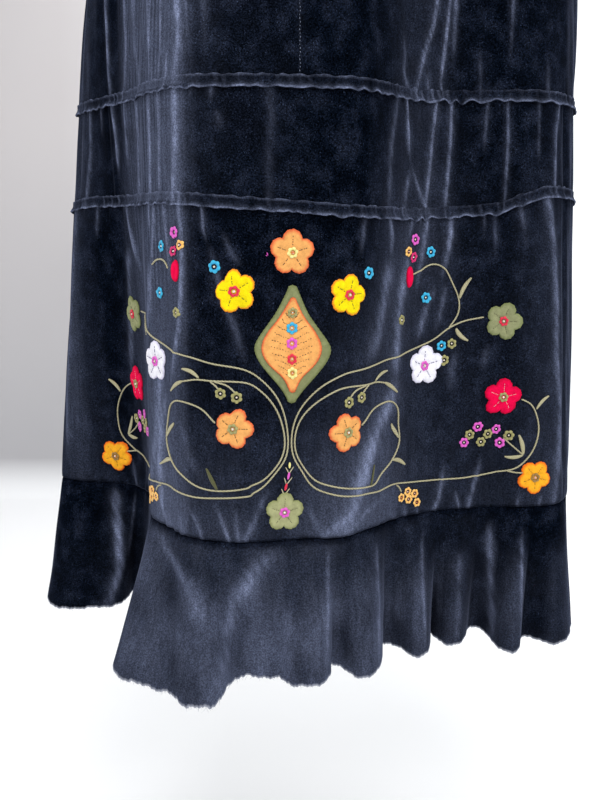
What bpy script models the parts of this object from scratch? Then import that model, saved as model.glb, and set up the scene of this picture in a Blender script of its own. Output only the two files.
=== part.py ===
"""A long tiered velvet skirt, filled out, with a fluted hem and felt flowers laid on its lower tier.
Metres, +Z up, the front towards -Y. The origin is the middle of the waist opening."""

import bpy
import numpy as np

for old in list(bpy.data.objects):
    bpy.data.objects.remove(old, do_unlink=True)

# Driving sizes, all in millimetres
mm = 0.001
wall = 1.8
gap = 0.3
band_height = 35.7
band_half_width = 135.0
band_half_depth = 105.0
band_thick = 3.0
panel_top = -36.0
seam_upper = -431.0
seam_lower = -530.0
seam_flounce = -815.0
hem = -950.0
section_upper = -435.0
section_lower = -815.0
flare_power = 1.5
flare_right = 1.9
columns = 120
side_column = 33
flounce_columns = 180
flounce_gap = 1.0
felt_thick = 1.2
felt_lift = 0.4
flower_datum = -535.0

# The folded outline seen from above, at the upper seam and at the flounce seam
outline_rows = (
    # name, x upper, y upper, x lower, y lower
    ("front centre", 0, -173, 0, -167),
    ("front right", 24, -170, 34, -163),
    ("slope high", 50, -158, 63, -138),
    ("slope low", 74, -128, 87, -109),
    ("hollow right", 98, -92, 122, -84),
    ("wing inner", 138, -76, 160, -73),
    ("wing middle", 174, -80, 192, -66),
    ("wing crest", 205, -83, 226, -67),
    ("wing edge", 236, -62, 258, -50),
    ("right turn", 261, -14, 276, -6),
    ("right side", 270, 40, 279, 46),
    ("right back", 248, 100, 252, 106),
    ("back corner right", 194, 148, 196, 152),
    ("back crest right", 128, 170, 130, 178),
    ("back hollow right", 68, 158, 70, 160),
    ("back centre", 0, 170, 0, 178),
    ("back hollow left", -62, 156, -66, 158),
    ("back crest left", -118, 166, -130, 174),
    ("back corner left", -172, 140, -198, 144),
    ("left back", -210, 92, -244, 102),
    ("left side", -223, 42, -262, 58),
    ("left wing", -206, 0, -236, 34),
    ("left hollow", -170, -52, -176, 16),
    ("left wall", -143, -97, -147, -42),
    ("left wall front", -134, -122, -139, -101),
    ("left wall high", -118, -146, -121, -129),
    ("left corner", -96, -172, -103, -156),
    ("front left", -62, -179, -68, -176),
    ("front inner left", -30, -179, -34, -176),
)

# How far the lower raised seam runs above or below its own height, along the front
seam_rise_rows = (
    # arc from the front centre, rise
    (-700, 2), (-500, 2), (-360, 3), (-300, 8), (-115, 8), (-45, 3), (0, 0), (40, -3), (85, -4),
    (130, -5), (175, -3), (220, 0), (243, 9), (266, 16), (330, 14), (420, 5), (560, 1), (700, 2),
)

# The flounce's lower edge against its seam
hem_rows = (
    # arc along the seam, outward, sideways
    (-392, 16, -15), (-378, 24, -16), (-364, 32, -10), (-346, 24, -17), (-328, 16, -9),
    (-308, 4, -14), (-291, -15, -53), (-270, -14, -76), (-248, -6, -56), (-226, 7, -31),
    (-203, 23, 1), (-180, 38, 20), (-160, 51, 6), (-148, 51, 19), (-134, 36, 36), (-121, 31, 40),
    (-109, 45, 41), (-98, 48, 40), (-86, 45, 33), (-75, 28, 17), (-64, 6, 1), (-52, -7, -4),
    (-36, -6, 2), (-20, 4, 2), (-8, 19, -3), (6, 25, 0), (17, 18, 2), (25, 0, 2), (33, -21, 3),
    (42, -18, 6), (53, -1, -4), (64, 10, -13), (74, 14, -12), (83, 5, 1), (92, -6, 14),
    (101, -20, 23), (112, -19, 18), (126, 2, 2), (137, 19, -9), (148, 18, -5), (158, -2, 3),
    (166, -22, 4), (175, -9, -4), (184, 8, -8), (194, 9, -7), (203, -7, -3), (211, -24, -1),
    (220, -25, -2), (229, -9, -6), (236, 16, -9), (243, 33, -9), (250, 37, -10), (257, 22, -12),
    (264, 0, -10), (274, 5, -7), (284, 22, -13), (294, 21, -15), (303, 15, -6), (312, 12, -5),
    (322, 8, 4), (336, -18, 2), (352, -10, 0), (366, 6, -2), (380, 9, -4), (394, 6, -6),
    (408, -10, -4), (428, -14, 2), (444, 18, 4), (458, 31, 2), (472, 22, 0), (488, -14, -2),
    (506, -18, 0), (522, 10, 4), (538, 26, 4), (554, 26, 0), (570, -8, -4), (592, -20, 0),
    (612, 6, 4), (630, 24, 2), (648, 24, -2), (666, -12, -2), (684, -18, 0), (700, 12, 2),
    (716, 31, 0), (732, 22, -4), (748, -12, -4), (770, -16, 2), (788, 14, 4), (804, 28, 2),
    (820, 24, -2), (838, -12, -4), (858, -16, 0), (876, 10, 4), (892, 27, 4), (910, 28, 0),
    (926, -6, -4), (946, -14, 0), (964, 16, 4), (980, 24, 2), (996, 20, -2), (1012, -12, -4),
    (1030, -6, 0), (1044, 22, 0), (1058, 18, -8),
)

# The felt flowers of the right half, mirrored to the left. Those at 0 lie on the middle line
flower_rows = (
    # name, out from the middle, drop below the datum, radius, turn in degrees, colour
    ("flower_top", 0, 31, 19.2, 2, (0.94, 0.60, 0.31)),
    ("flower_yellow", 53, 66, 18.3, 14, (1.0, 0.89, 0.0)),
    ("flower_olive", 240, 97, 17.8, 20, (0.52, 0.56, 0.37)),
    ("flower_white", 162, 135, 18.3, 4, (0.95, 0.94, 0.98)),
    ("flower_red", 245, 168, 18.0, 4, (0.92, 0.0, 0.22)),
    ("flower_golden", 289, 249, 17.0, 35, (1.0, 0.60, 0.10)),
    ("flower_orange", 51, 184, 17.5, -18, (0.94, 0.60, 0.31)),
    ("flower_base", 0, 253, 17.3, 3, (0.52, 0.56, 0.37)),
)
bud = (122, 52, 5.4, 9.5, (0.92, 0.0, 0.22))

# The two felt drops, as half widths at drops below the datum
drop_outer_rows = (
    (58, 2.6), (63, 5.4), (72, 9.2), (84, 15.3), (93.4, 21.9), (103.6, 29.4), (111, 34.0),
    (118, 33.4), (126, 29.6), (136, 21.8), (145, 13.4), (152.7, 7.2), (159.5, 2.6),
)
drop_inner_rows = (
    (69, 1.4), (76, 4.8), (84, 9.4), (91, 14.2), (97.6, 20.2), (106, 25.0), (113, 26.8),
    (119.7, 25.4), (126.5, 21.6), (131.5, 16.7), (137.5, 9.9), (143, 6.0), (150.5, 2.0),
)
drop_colours = ((0.52, 0.56, 0.37), (0.94, 0.60, 0.31))

# How far the hanging cloth moves places of the mirrored layout
slant_rows = (
    # out from the middle, drop, moved right, moved down
    (0, 31, -7, 1), (0, 109, -8, -2), (0, 200, -9.5, 0), (0, 253, -14.5, 1.5),
    (-53, 66, -2.5, -2.5), (53, 66, -11, 1.5), (-122, 52, 14, -4.5), (122, 52, 5.5, 4),
    (-76, 47, 5, -3.5), (76, 47, -12, 3), (-126, 20, 18, -4), (126, 20, 10.5, 3),
    (-147, 30, 14, -2.5), (147, 30, 7.5, 4), (-149, 72, 10, -4.5), (149, 72, 0.5, 3.5),
    (-118, 88, 10, -6), (118, 88, -2.5, 5.5), (-162, 135, 13.5, -6.5), (162, 135, -15, 3.5),
    (183, 118, -11.5, 2), (187, 75, -3.5, 3), (-240, 97, -7, -2.5), (240, 97, -13.5, 1),
    (-245, 168, -13, -3), (245, 168, -16.5, 2.5), (-289, 249, -28, 0), (289, 249, -27.5, 1),
    (-51, 184, -7, -4.5), (51, 184, -9, 2.5), (-59, 156, -2, -5), (59, 156, -8, 3),
    (-259, 209, -9, -2.5), (225, 204, -28, 3), (259, 209, -28.5, 2.5), (170, 263, -40.5, 1),
    (143, 212, -34, 0), (-149, 203, 15, -8), (-101, 168, 3.5, -8), (101, 168, -18, -1),
    (262, 242, -28, 1), (-262, 242, -20, -3.5), (-83, 245, 16, -4), (54, 242, -14.5, 1.5),
)

velvet = (0.02, 0.03, 0.06)


def material(name, colour):
    made = bpy.data.materials.new(name)
    made.use_nodes = True
    shader = made.node_tree.nodes["Principled BSDF"]
    shader.inputs["Base Color"].default_value = (*colour, 1.0)
    shader.inputs["Roughness"].default_value = 0.9
    return made


part_collection = bpy.data.collections.new("tiered_maxi_skirt")
bpy.context.scene.collection.children.link(part_collection)


def add_solid(name, vertices, faces, colour):
    mesh = bpy.data.meshes.new(name)
    mesh.from_pydata([tuple(v) for v in np.asarray(vertices) * mm], [], faces)
    mesh.update()
    obj = bpy.data.objects.new(name, mesh)
    part_collection.objects.link(obj)
    mesh.materials.append(material(name, colour))
    return obj


# The skirt's surface as stacked rings of evenly spaced points

def smooth(value):
    value = np.clip(value, 0, 1)
    return value * value * (3 - 2 * value)


def closed_curve(rows, per_span):
    rows = np.asarray(rows, float)[:, None]
    before, after, later = np.roll(rows, 1, 0), np.roll(rows, -1, 0), np.roll(rows, -2, 0)
    t = (np.arange(per_span) / per_span)[None, :, None]
    out = 0.5 * (
        2 * rows
        + (after - before) * t
        + (2 * before - 5 * rows + 4 * after - later) * t**2
        + (3 * rows - before - 3 * after + later) * t**3
    )
    return out.reshape(-1, rows.shape[-1])


outline_upper = np.array([row[1:3] for row in outline_rows], float)
outline_lower = np.array([row[3:5] for row in outline_rows], float)
steps = np.linalg.norm(np.roll(outline_upper, -1, 0) - outline_upper, axis=1)
around = 2 * np.pi * (np.cumsum(steps) - steps) / steps.sum()
band_outline = np.stack([band_half_width * np.sin(around), -band_half_depth * np.cos(around)], 1)


def outline_at(z):
    if z < section_upper:
        share = (section_upper - z) / (section_upper - section_lower)
        return outline_upper + (outline_lower - outline_upper) * share
    share = min(max((panel_top - z) / (panel_top - section_upper), 0.0), 1.0)
    grown = 1 - (1 - share) ** (flare_power + flare_right * smooth((outline_upper[:, :1] - 150) / 90))
    return band_outline + (outline_upper - band_outline) * grown


ring_points = 1440
level_step = 5.0
levels = np.arange(0.0, -821.0, -level_step)


def ring_at(z):
    curve = closed_curve(outline_at(z), 24)
    curve = np.vstack([curve, curve[:1]])
    run = np.concatenate([[0.0], np.cumsum(np.linalg.norm(np.diff(curve, axis=0), axis=1))])
    even = np.arange(ring_points) / ring_points * run[-1]
    ring = np.stack([np.interp(even, run, curve[:, k]) for k in (0, 1)], -1)
    return ring, run[-1]


rings = np.array([ring_at(z)[0] for z in levels])
sweeps = np.array([ring_at(z)[1] for z in levels])
along_ring = np.roll(rings, -1, 1) - np.roll(rings, 1, 1)
outward = np.stack([along_ring[..., 1], -along_ring[..., 0]], -1)
outward /= np.linalg.norm(outward, axis=-1, keepdims=True)


def sample(table, turn, z):
    """The table's value at these shares of a turn from the front centre and these heights"""
    turn, z = np.broadcast_arrays(np.asarray(turn, float), np.asarray(z, float))
    depth = np.clip(-z / level_step, 0, len(levels) - 1.0001)
    row = depth.astype(int)
    down = (depth - row)[..., None]
    place = np.mod(turn, 1.0) * ring_points
    first = place.astype(int) % ring_points
    second = (first + 1) % ring_points
    over = (place - np.floor(place))[..., None]
    high = table[row, first] * (1 - over) + table[row, second] * over
    low = table[row + 1, first] * (1 - over) + table[row + 1, second] * over
    return high * (1 - down) + low * down


def on_skirt(turn, z, out=0.0):
    turn, z, out = np.broadcast_arrays(*(np.asarray(v, float) for v in (turn, z, out)))
    plan = sample(rings, turn, z) + sample(outward, turn, z) * out[..., None]
    return np.concatenate([plan, z[..., None]], -1)


def sweep_at(z):
    return np.interp(-np.asarray(z, float), -levels, sweeps)


rise_table = np.array(seam_rise_rows, float)


def lower_seam(turn):
    arc = (np.mod(np.asarray(turn, float) + 0.5, 1.0) - 0.5) * sweep_at(seam_lower)
    return seam_lower + np.interp(arc, rise_table[:, 0], rise_table[:, 1])


# Sheets of cloth from a grid of points on their middle surface

def grid_normals(grid, closed):
    if closed:
        across = np.roll(grid, -1, 1) - np.roll(grid, 1, 1)
    else:
        across = np.gradient(grid, axis=1)
    down = np.gradient(grid, axis=0)
    normal = np.cross(down, across)
    return normal / np.linalg.norm(normal, axis=-1, keepdims=True)


def add_sheet(name, grid, thick, colour, closed=False):
    """A sheet with a face each side and all its edges closed. The grid runs down by rows and round by columns,
    and that of an open sheet has one column more at each end, which only turns the end's normals"""
    normals = grid_normals(grid, closed)
    if not closed:
        grid, normals = grid[:, 1:-1], normals[:, 1:-1]
    rows, cols = grid.shape[:2]
    outer = grid + normals * thick / 2
    inner = grid - normals * thick / 2
    vertices = np.concatenate([outer.reshape(-1, 3), inner.reshape(-1, 3)])
    back = rows * cols
    spans = cols if closed else cols - 1
    faces = []
    for r in range(rows - 1):
        for c in range(spans):
            d = (c + 1) % cols
            a, b, e, f = r * cols + c, r * cols + d, (r + 1) * cols + d, (r + 1) * cols + c
            faces += [(a, e, b), (a, f, e)]
            faces += [(back + a, back + b, back + e), (back + a, back + e, back + f)]
    for c in range(spans):
        d = (c + 1) % cols
        last = (rows - 1) * cols
        faces += [(c, d, back + d, back + c), (last + d, last + c, back + last + c, back + last + d)]
    if not closed:
        for r in range(rows - 1):
            a, b = r * cols, (r + 1) * cols
            faces.append((a, back + a, back + b, b))
            a, b = a + cols - 1, b + cols - 1
            faces.append((a, b, back + b, back + a))
    add_solid(name, vertices, faces, colour)
    return outer, normals


def turns(first, last):
    """Columns from one before first to one after last, with half a seam gap taken off at first and last"""
    at = np.arange(first - 1, last + 2) / columns
    at[1] += gap / 2 / 1400.0
    at[-2] -= gap / 2 / 1400.0
    return at


def tier(name, first, last, heights):
    """A wall between two columns, its rows at the heights given as functions of the turn"""
    at = turns(first, last)
    grid = np.array([on_skirt(at, height(at)) for height in heights])
    return at[1:-1], add_sheet(name, grid, wall, velvet)


def level(z):
    return lambda at: np.full(len(at), z)


def between(top, bottom, shares):
    return [
        (lambda at, share=share: top(at) * (1 - share) + bottom(at) * share) for share in shares
    ]


upper_heights = [level(z) for z in (panel_top - 1.0, -75.0, -130.0, -200.0, -300.0, seam_upper + gap / 2)]
middle_heights = between(
    level(seam_upper - gap / 2), lambda at: lower_seam(at) + gap / 2, (0, 0.5, 1)
)
lower_shares = (0, 0.2, 0.4, 0.6, 0.8, 1)
lower_heights = between(
    lambda at: lower_seam(at) - gap / 2, level(seam_flounce + gap / 2), lower_shares
)

tier("upper_front_left", -side_column, 0, upper_heights)
tier("upper_front_right", 0, side_column, upper_heights)
tier("upper_back", side_column, columns - side_column, upper_heights)
tier("middle_front", -side_column, side_column, middle_heights)
tier("middle_back", side_column, columns - side_column, middle_heights)
panel_at, (panel_outer, panel_normals) = tier(
    "flowered_front", -side_column, side_column, lower_heights
)
tier("flowered_back", side_column, columns - side_column, lower_heights)

# The waistband, a casing round its elastic
band_columns = 60
band_at = np.arange(band_columns) / band_columns
band_angle = 2 * np.pi * band_at
band_grid = np.array([
    np.stack([
        (band_half_width + swell) * np.sin(band_angle),
        -(band_half_depth + swell) * np.cos(band_angle),
        np.full(band_columns, z),
    ], -1)
    for z, swell in ((0.0, 0.0), (-band_height / 2, 1.5), (-band_height, 0.0))
])
add_sheet("waistband", band_grid, band_thick, velvet, closed=True)

# The two raised seams, gathered so that they waver
raised_profile = ((1.3, 3.6), (3.6, 4.0), (4.8, 0.2), (3.6, -4.0), (1.3, -3.6))


def raised_seam(name, height):
    at = np.arange(columns) / columns
    waver = 0.6 * np.sin(2 * np.pi * 41 * at) + 0.4 * np.sin(2 * np.pi * 29 * at + 1.0)
    loops = [
        on_skirt(at, height(at) + up + (waver if out > 2 else 0.0), out + (0.3 * waver if out > 2 else 0))
        for out, up in raised_profile
    ]
    vertices = np.concatenate(loops)
    count = len(loops)
    faces = []
    for k in range(count):
        n = (k + 1) % count
        for c in range(columns):
            d = (c + 1) % columns
            a, b, e, f = k * columns + c, k * columns + d, n * columns + d, n * columns + c
            faces += [(a, e, b), (a, f, e)]
    add_solid(name, vertices, faces, velvet)


raised_seam("raised_seam_upper", level(seam_upper))
raised_seam("raised_seam_lower", lower_seam)

# The flounce, ruled from its seam to the fluted hem
flounce_sweep = float(sweep_at(seam_flounce))
hem_table = np.array(hem_rows, float)
hem_turn = hem_table[:, 0] / flounce_sweep
hem_plan = on_skirt(hem_turn, seam_flounce)[:, :2]
hem_out = sample(outward, hem_turn, seam_flounce)
hem_side = np.stack([-hem_out[:, 1], hem_out[:, 0]], -1)
hem_plan = hem_plan + hem_out * hem_table[:, 1:2] + hem_side * hem_table[:, 2:3]
# three turns of the table, so that its ends join
hem_long = np.concatenate([
    np.column_stack([hem_table[:, 0] + flounce_sweep * turn, hem_plan]) for turn in (-1, 0, 1)
])
hem_curve = closed_curve(hem_long, 8)[: -8 * 2]
flounce_shares = (0, 0.12, 0.32, 0.55, 0.78, 1)


def flounce(name, first, last):
    step = 1 / flounce_columns
    at = np.arange(-1, round((last - first) / step) + 2) * step + first
    at[1] += gap / 2 / 1400.0
    at[-2] -= gap / 2 / 1400.0
    top = on_skirt(at, seam_flounce)
    arc = (np.mod(at + 0.5, 1.0) - 0.5) * flounce_sweep
    low = np.stack([np.interp(arc, hem_curve[:, 0], hem_curve[:, k]) for k in (1, 2)], -1)
    low = np.column_stack([low, np.full(len(at), hem)])
    grid = np.array([top + (low - top) * share for share in flounce_shares])
    grid[0, :, 2] -= flounce_gap
    add_sheet(name, grid, wall, velvet)


side_turn = side_column / columns
flounce("flounce_front", -side_turn, side_turn)
flounce("flounce_back", side_turn, 1 - side_turn)


# Felt flowers, cut from a flat slab that carries the panel's own facets, then laid on those facets
flat_sweep = 1420.0


slant_table = np.array(slant_rows, float)
slant_reach = 12.0


def lay(out, drop):
    """Flat place on the panel, as an arc at the mean sweep and a height. Each place moves by a mean of the slant
    rows, in which the near ones count most"""
    out, drop = np.asarray(out, float), np.asarray(drop, float)
    away = np.stack([out, drop], -1)[..., None, :] - slant_table[:, :2]
    near = 1 / ((away**2).sum(-1) + slant_reach**2) ** 2
    right, down = ((near[..., None] * slant_table[:, 2:]).sum(-2) / near.sum(-1)[..., None]).T
    z = flower_datum - drop - down
    return (out + right) / sweep_at(z) * flat_sweep, z


panel_z = np.array([height(panel_at) for height in lower_heights])
panel_flat = np.stack([np.broadcast_to(panel_at * flat_sweep, panel_z.shape), panel_z], -1)
panel_cols = len(panel_at)


def panel_triangles():
    found = []
    for r in range(len(panel_z) - 1):
        for c in range(panel_cols - 1):
            a, b = (r, c), (r, c + 1)
            e, f = (r + 1, c + 1), (r + 1, c)
            found += [(a, e, b), (a, f, e)]
    return np.array(found)


facets = panel_triangles()
facet_flat = panel_flat[facets[..., 0], facets[..., 1]]
facet_points = panel_outer[facets[..., 0], facets[..., 1]]
facet_normals = panel_normals[facets[..., 0], facets[..., 1]]


def share_of(flat):
    """The facet that holds a flat place, and the place's share of its corners"""
    a, b, c = facet_flat[:, 0], facet_flat[:, 1], facet_flat[:, 2]
    v0, v1, v2 = b - a, c - a, flat - a
    det = v0[:, 0] * v1[:, 1] - v0[:, 1] * v1[:, 0]
    second = (v2[:, 0] * v1[:, 1] - v2[:, 1] * v1[:, 0]) / det
    third = (v0[:, 0] * v2[:, 1] - v0[:, 1] * v2[:, 0]) / det
    shares = np.stack([1 - second - third, second, third], -1)
    best = shares.min(1).argmax()
    return best, shares[best]


def prism(name, outline, low, high):
    count = len(outline)
    vertices = [(*p, low) for p in outline] + [(*p, high) for p in outline]
    faces = [tuple(range(count))[::-1], tuple(range(count, 2 * count))]
    for k in range(count):
        n = (k + 1) % count
        faces.append((k, n, count + n, count + k))
    return add_solid(name, vertices, faces, velvet)


def slab(name, outline, low, high):
    """The panel's facets near the outline, flat, with a thickness"""
    margin = 3.0
    least, most = outline.min(0) - margin, outline.max(0) + margin
    box_low, box_high = facet_flat.min(1), facet_flat.max(1)
    near = ((box_high > least) & (box_low < most)).all(1)
    # whole cells only: both facets of a cell are kept
    near = np.repeat(near.reshape(-1, 2).any(1), 2)
    used = facets[near]
    index = {}
    flat, sides = [], []
    for facet in used:
        corners = []
        for r, c in facet:
            if (r, c) not in index:
                index[(r, c)] = len(flat)
                flat.append(panel_flat[r, c])
            corners.append(index[(r, c)])
        sides.append(tuple(corners))
    count = len(flat)
    vertices = [(*p, high) for p in flat] + [(*p, low) for p in flat]
    faces = []
    edges = {}
    for a, b, c in sides:
        faces += [(a, b, c), (count + a, count + c, count + b)]
        for pair in ((a, b), (b, c), (c, a)):
            edges[pair] = True
    for a, b in edges:
        if (b, a) not in edges:
            faces.append((b, a, count + a, count + b))
    return add_solid(name, vertices, faces, velvet)


def felt(name, outline, layer, colour):
    """A felt piece from its outline as (out, drop) pairs, on the panel or on the piece below it"""
    outline = np.stack(lay(outline[:, 0], outline[:, 1]), -1)
    turned = outline[:, 0] * np.roll(outline[:, 1], -1) - np.roll(outline[:, 0], -1) * outline[:, 1]
    if turned.sum() < 0:
        outline = outline[::-1]
    low = felt_lift + layer * (felt_thick + gap)
    high = low + felt_thick
    body = slab("slab", outline, low, high)
    cutter = prism("prism", outline, low - 2.0, high + 2.0)
    cut = body.modifiers.new("cut", "BOOLEAN")
    cut.operation = "INTERSECT"
    cut.solver = "EXACT"
    cut.object = cutter
    bpy.context.view_layer.update()
    done = body.evaluated_get(bpy.context.evaluated_depsgraph_get()).to_mesh()
    flat = np.array([v.co for v in done.vertices]) / mm
    faces = [tuple(p.vertices) for p in done.polygons]
    placed = []
    for place in flat:
        facet, share = share_of(place[:2])
        base = share @ facet_points[facet]
        placed.append(base + (share @ facet_normals[facet]) * place[2])
    for spare in (body, cutter):
        bpy.data.objects.remove(spare, do_unlink=True)
    add_solid(name, placed, faces, colour)


def petals(out, drop, radius, turn, side, points=25):
    angle = 2 * np.pi * np.arange(points) / points
    lobes = np.abs(np.cos(2.5 * (angle - np.radians(turn)))) ** 0.8
    reach = radius * (0.74 + 0.26 * lobes)
    return np.stack([side * (out + reach * np.sin(angle)), drop - reach * np.cos(angle)], -1)


def oval(out, drop, half_width, half_height, side, points=16):
    angle = 2 * np.pi * np.arange(points) / points
    return np.stack([side * (out + half_width * np.sin(angle)), drop - half_height * np.cos(angle)], -1)


def drop_shape(rows):
    """A drop from its half widths, the right side down and the left side up"""
    rows = np.array(rows, float)
    right = rows[:, ::-1]
    return np.concatenate([right, (right * (-1, 1))[::-1]])


for name, out, drop, radius, turn, colour in flower_rows:
    if out == 0:
        felt(name, petals(0, drop, radius, turn, 1), 0, colour)
        continue
    for side, word in ((-1, "left"), (1, "right")):
        felt(f"{name}_{word}", petals(out, drop, radius, turn, side), 0, colour)
for side, word in ((-1, "left"), (1, "right")):
    felt(f"bud_{word}", oval(*bud[:4], side), 0, bud[4])
felt("drop_outer", drop_shape(drop_outer_rows), 0, drop_colours[0])
felt("drop_inner", drop_shape(drop_inner_rows), 1, drop_colours[1])
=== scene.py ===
import math
import bpy
import numpy as np
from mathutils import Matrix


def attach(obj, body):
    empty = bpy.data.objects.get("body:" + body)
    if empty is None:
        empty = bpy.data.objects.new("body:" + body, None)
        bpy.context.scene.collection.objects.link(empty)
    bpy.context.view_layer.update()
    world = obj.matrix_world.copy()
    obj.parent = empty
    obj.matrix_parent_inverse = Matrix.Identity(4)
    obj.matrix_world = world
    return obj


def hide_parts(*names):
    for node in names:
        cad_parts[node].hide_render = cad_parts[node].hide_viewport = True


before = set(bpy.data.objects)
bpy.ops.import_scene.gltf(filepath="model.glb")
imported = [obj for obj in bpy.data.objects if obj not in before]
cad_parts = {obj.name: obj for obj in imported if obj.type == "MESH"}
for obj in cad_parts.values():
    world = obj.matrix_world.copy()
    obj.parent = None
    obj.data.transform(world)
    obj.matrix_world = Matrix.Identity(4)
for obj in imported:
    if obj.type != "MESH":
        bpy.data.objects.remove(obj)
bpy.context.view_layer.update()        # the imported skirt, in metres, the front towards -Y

mm = 0.001
print("frame loaded")

# Camera: a portrait lens a metre in front of the skirt, looking ten degrees down at its lower half
view = {"place": (0.0, -1.0, -0.545), "downwards": 10.0, "lens": 44.55}
cameraData = bpy.data.cameras.new("camera")
cameraData.lens = view["lens"]
cameraData.clip_start = 0.05
camera = bpy.data.objects.new("camera", cameraData)
camera.location = view["place"]
camera.rotation_euler = (math.radians(90 - view["downwards"]), 0, 0)
bpy.context.scene.collection.objects.link(camera)
bpy.context.scene.camera = camera


# Materials

def hexColour(text):
    # sRGB hex to the linear values that Blender works in
    parts = [int(text[k:k + 2], 16) / 255 for k in (1, 3, 5)]
    return tuple(p / 12.92 if p <= 0.04045 else ((p + 0.055) / 1.055) ** 2.4 for p in parts) + (1.0,)


def addNode(tree, kind, inputs=None, stops=(), **settings):
    # inputs holds a value or another node's output for each socket, by name or number, and stops a ramp's colours
    made = tree.nodes.new(kind)
    for name, value in settings.items():
        setattr(made, name, value)
    for k, (place, colour) in enumerate(stops):
        stop = made.color_ramp.elements[k] if k < 2 else made.color_ramp.elements.new(place)
        stop.position, stop.color = place, colour
    for socket, value in (inputs or {}).items():
        if isinstance(value, bpy.types.NodeSocket):
            tree.links.new(value, made.inputs[socket])
        else:
            made.inputs[socket].default_value = value
    return made


def grey(value):
    return (value, value, value, 1.0)


def newMaterial(name):
    made = bpy.data.materials.new(name)
    made.use_nodes = True
    tree = made.node_tree
    tree.nodes.clear()
    output = addNode(tree, "ShaderNodeOutputMaterial")
    shader = addNode(tree, "ShaderNodeBsdfPrincipled")
    tree.links.new(shader.outputs[0], output.inputs[0])
    return made, tree, shader


def setSockets(shader, values):
    for name, value in values.items():
        shader.inputs[name].default_value = value


# Cotton velvet, a cut pile woven into a plain ground: nearly black where the pile is looked into, grey-blue where it is
# seen from the side, and a grey-blue painted sheen, partly the brushed nap, mixed in by the shine value, with a fine
# mottling where tufts lean apart
velvetLook = {
    "deep": "#010204", "tuft": "#141b2b", "fleck": "#46536e", "napAndPaintedSheen": "#858eac", "raw": "#a4a7b3",
    "tuftSize": 1.3, "fleckSize": 0.8, "combSize": 4.5, "combLength": 30.0, "cloudSize": 19.0,
    "sheen": 0.20, "sheenRoughness": 0.22, "sheenTint": "#b9c4ea",
}


def velvetMaterial(name, look):
    made, tree, shader = newMaterial(name)
    place = addNode(tree, "ShaderNodeTexCoord").outputs["Object"]
    combed = addNode(tree, "ShaderNodeMapping", {"Vector": place,
                                                 "Scale": (1.0, 1.0, look["combSize"] / look["combLength"])}).outputs[0]
    tufts = addNode(tree, "ShaderNodeTexNoise", {"Vector": place, "Scale": 1 / (look["tuftSize"] * mm), "Detail": 3.0,
                                                 "Roughness": 0.65}).outputs["Fac"]
    flecks = addNode(tree, "ShaderNodeTexNoise", {"Vector": place, "Scale": 1 / (look["fleckSize"] * mm),
                                                  "Detail": 1.0}).outputs["Fac"]
    comb = addNode(tree, "ShaderNodeTexNoise", {"Vector": combed, "Scale": 1 / (look["combSize"] * mm), "Detail": 3.0,
                                                "Roughness": 0.6}).outputs["Fac"]
    clouds = addNode(tree, "ShaderNodeTexNoise", {"Vector": place, "Scale": 1 / (look["cloudSize"] * mm), "Detail": 3.0,
                                                  "Roughness": 0.55}).outputs["Fac"]
    shine = addNode(tree, "ShaderNodeAttribute", attribute_name="shine").outputs["Fac"]
    raw = addNode(tree, "ShaderNodeAttribute", attribute_name="raw").outputs["Fac"]
    tuft = addNode(tree, "ShaderNodeValToRGB", {0: tufts}, [(0.40, grey(0.0)), (0.66, grey(1.0))]).outputs[0]
    drift = addNode(tree, "ShaderNodeValToRGB", {0: clouds}, [(0.34, grey(0.25)), (0.66, grey(1.0))]).outputs[0]
    amount = addNode(tree, "ShaderNodeMath", {0: tuft, 1: drift}, operation="MULTIPLY").outputs[0]
    pile = addNode(tree, "ShaderNodeMix", {"Factor": amount, 6: hexColour(look["deep"]), 7: hexColour(look["tuft"])},
                   data_type="RGBA").outputs[2]
    spark = addNode(tree, "ShaderNodeValToRGB", {0: flecks}, [(0.63, grey(0.0)), (0.74, grey(1.0))]).outputs[0]
    spark = addNode(tree, "ShaderNodeMath", {0: spark, 1: amount}, operation="MULTIPLY").outputs[0]
    pile = addNode(tree, "ShaderNodeMix", {"Factor": spark, 6: pile, 7: hexColour(look["fleck"])},
                   data_type="RGBA").outputs[2]
    # the painted sheen's share, partly brushed nap, is what the cloth's form gives, and a little in the clouds, times
    # the comb and the tufts
    crushed = addNode(tree, "ShaderNodeValToRGB", {0: clouds}, [(0.50, grey(0.0)), (0.80, grey(0.045))]).outputs[0]
    shine = addNode(tree, "ShaderNodeMath", {0: shine, 1: crushed}, operation="ADD").outputs[0]
    combing = addNode(tree, "ShaderNodeValToRGB", {0: comb}, [(0.34, grey(0.68)), (0.66, grey(1.0))]).outputs[0]
    grain = addNode(tree, "ShaderNodeMath", {0: tuft, 1: 0.7, 2: 0.50}, operation="MULTIPLY_ADD").outputs[0]
    shine = addNode(tree, "ShaderNodeMath", {0: shine, 1: combing}, operation="MULTIPLY").outputs[0]
    napAndPaintedSheen = addNode(tree, "ShaderNodeMath", {0: shine, 1: grain}, operation="MULTIPLY", use_clamp=True).outputs[0]
    pile = addNode(tree, "ShaderNodeMix", {"Factor": napAndPaintedSheen, 6: pile, 7: hexColour(look["napAndPaintedSheen"])},
                   data_type="RGBA").outputs[2]
    pile = addNode(tree, "ShaderNodeMix", {"Factor": raw, 6: pile, 7: hexColour(look["raw"])},
                   data_type="RGBA").outputs[2]
    tree.links.new(pile, shader.inputs["Base Color"])
    bump = addNode(tree, "ShaderNodeBump", {"Height": tufts, "Strength": 0.5, "Distance": 0.4 * mm})
    tree.links.new(bump.outputs[0], shader.inputs["Normal"])
    setSockets(shader, {"Roughness": 1.0, "Specular IOR Level": 0.0, "Sheen Weight": look["sheen"],
                        "Sheen Roughness": look["sheenRoughness"], "Sheen Tint": hexColour(look["sheenTint"])})
    return made


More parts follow.
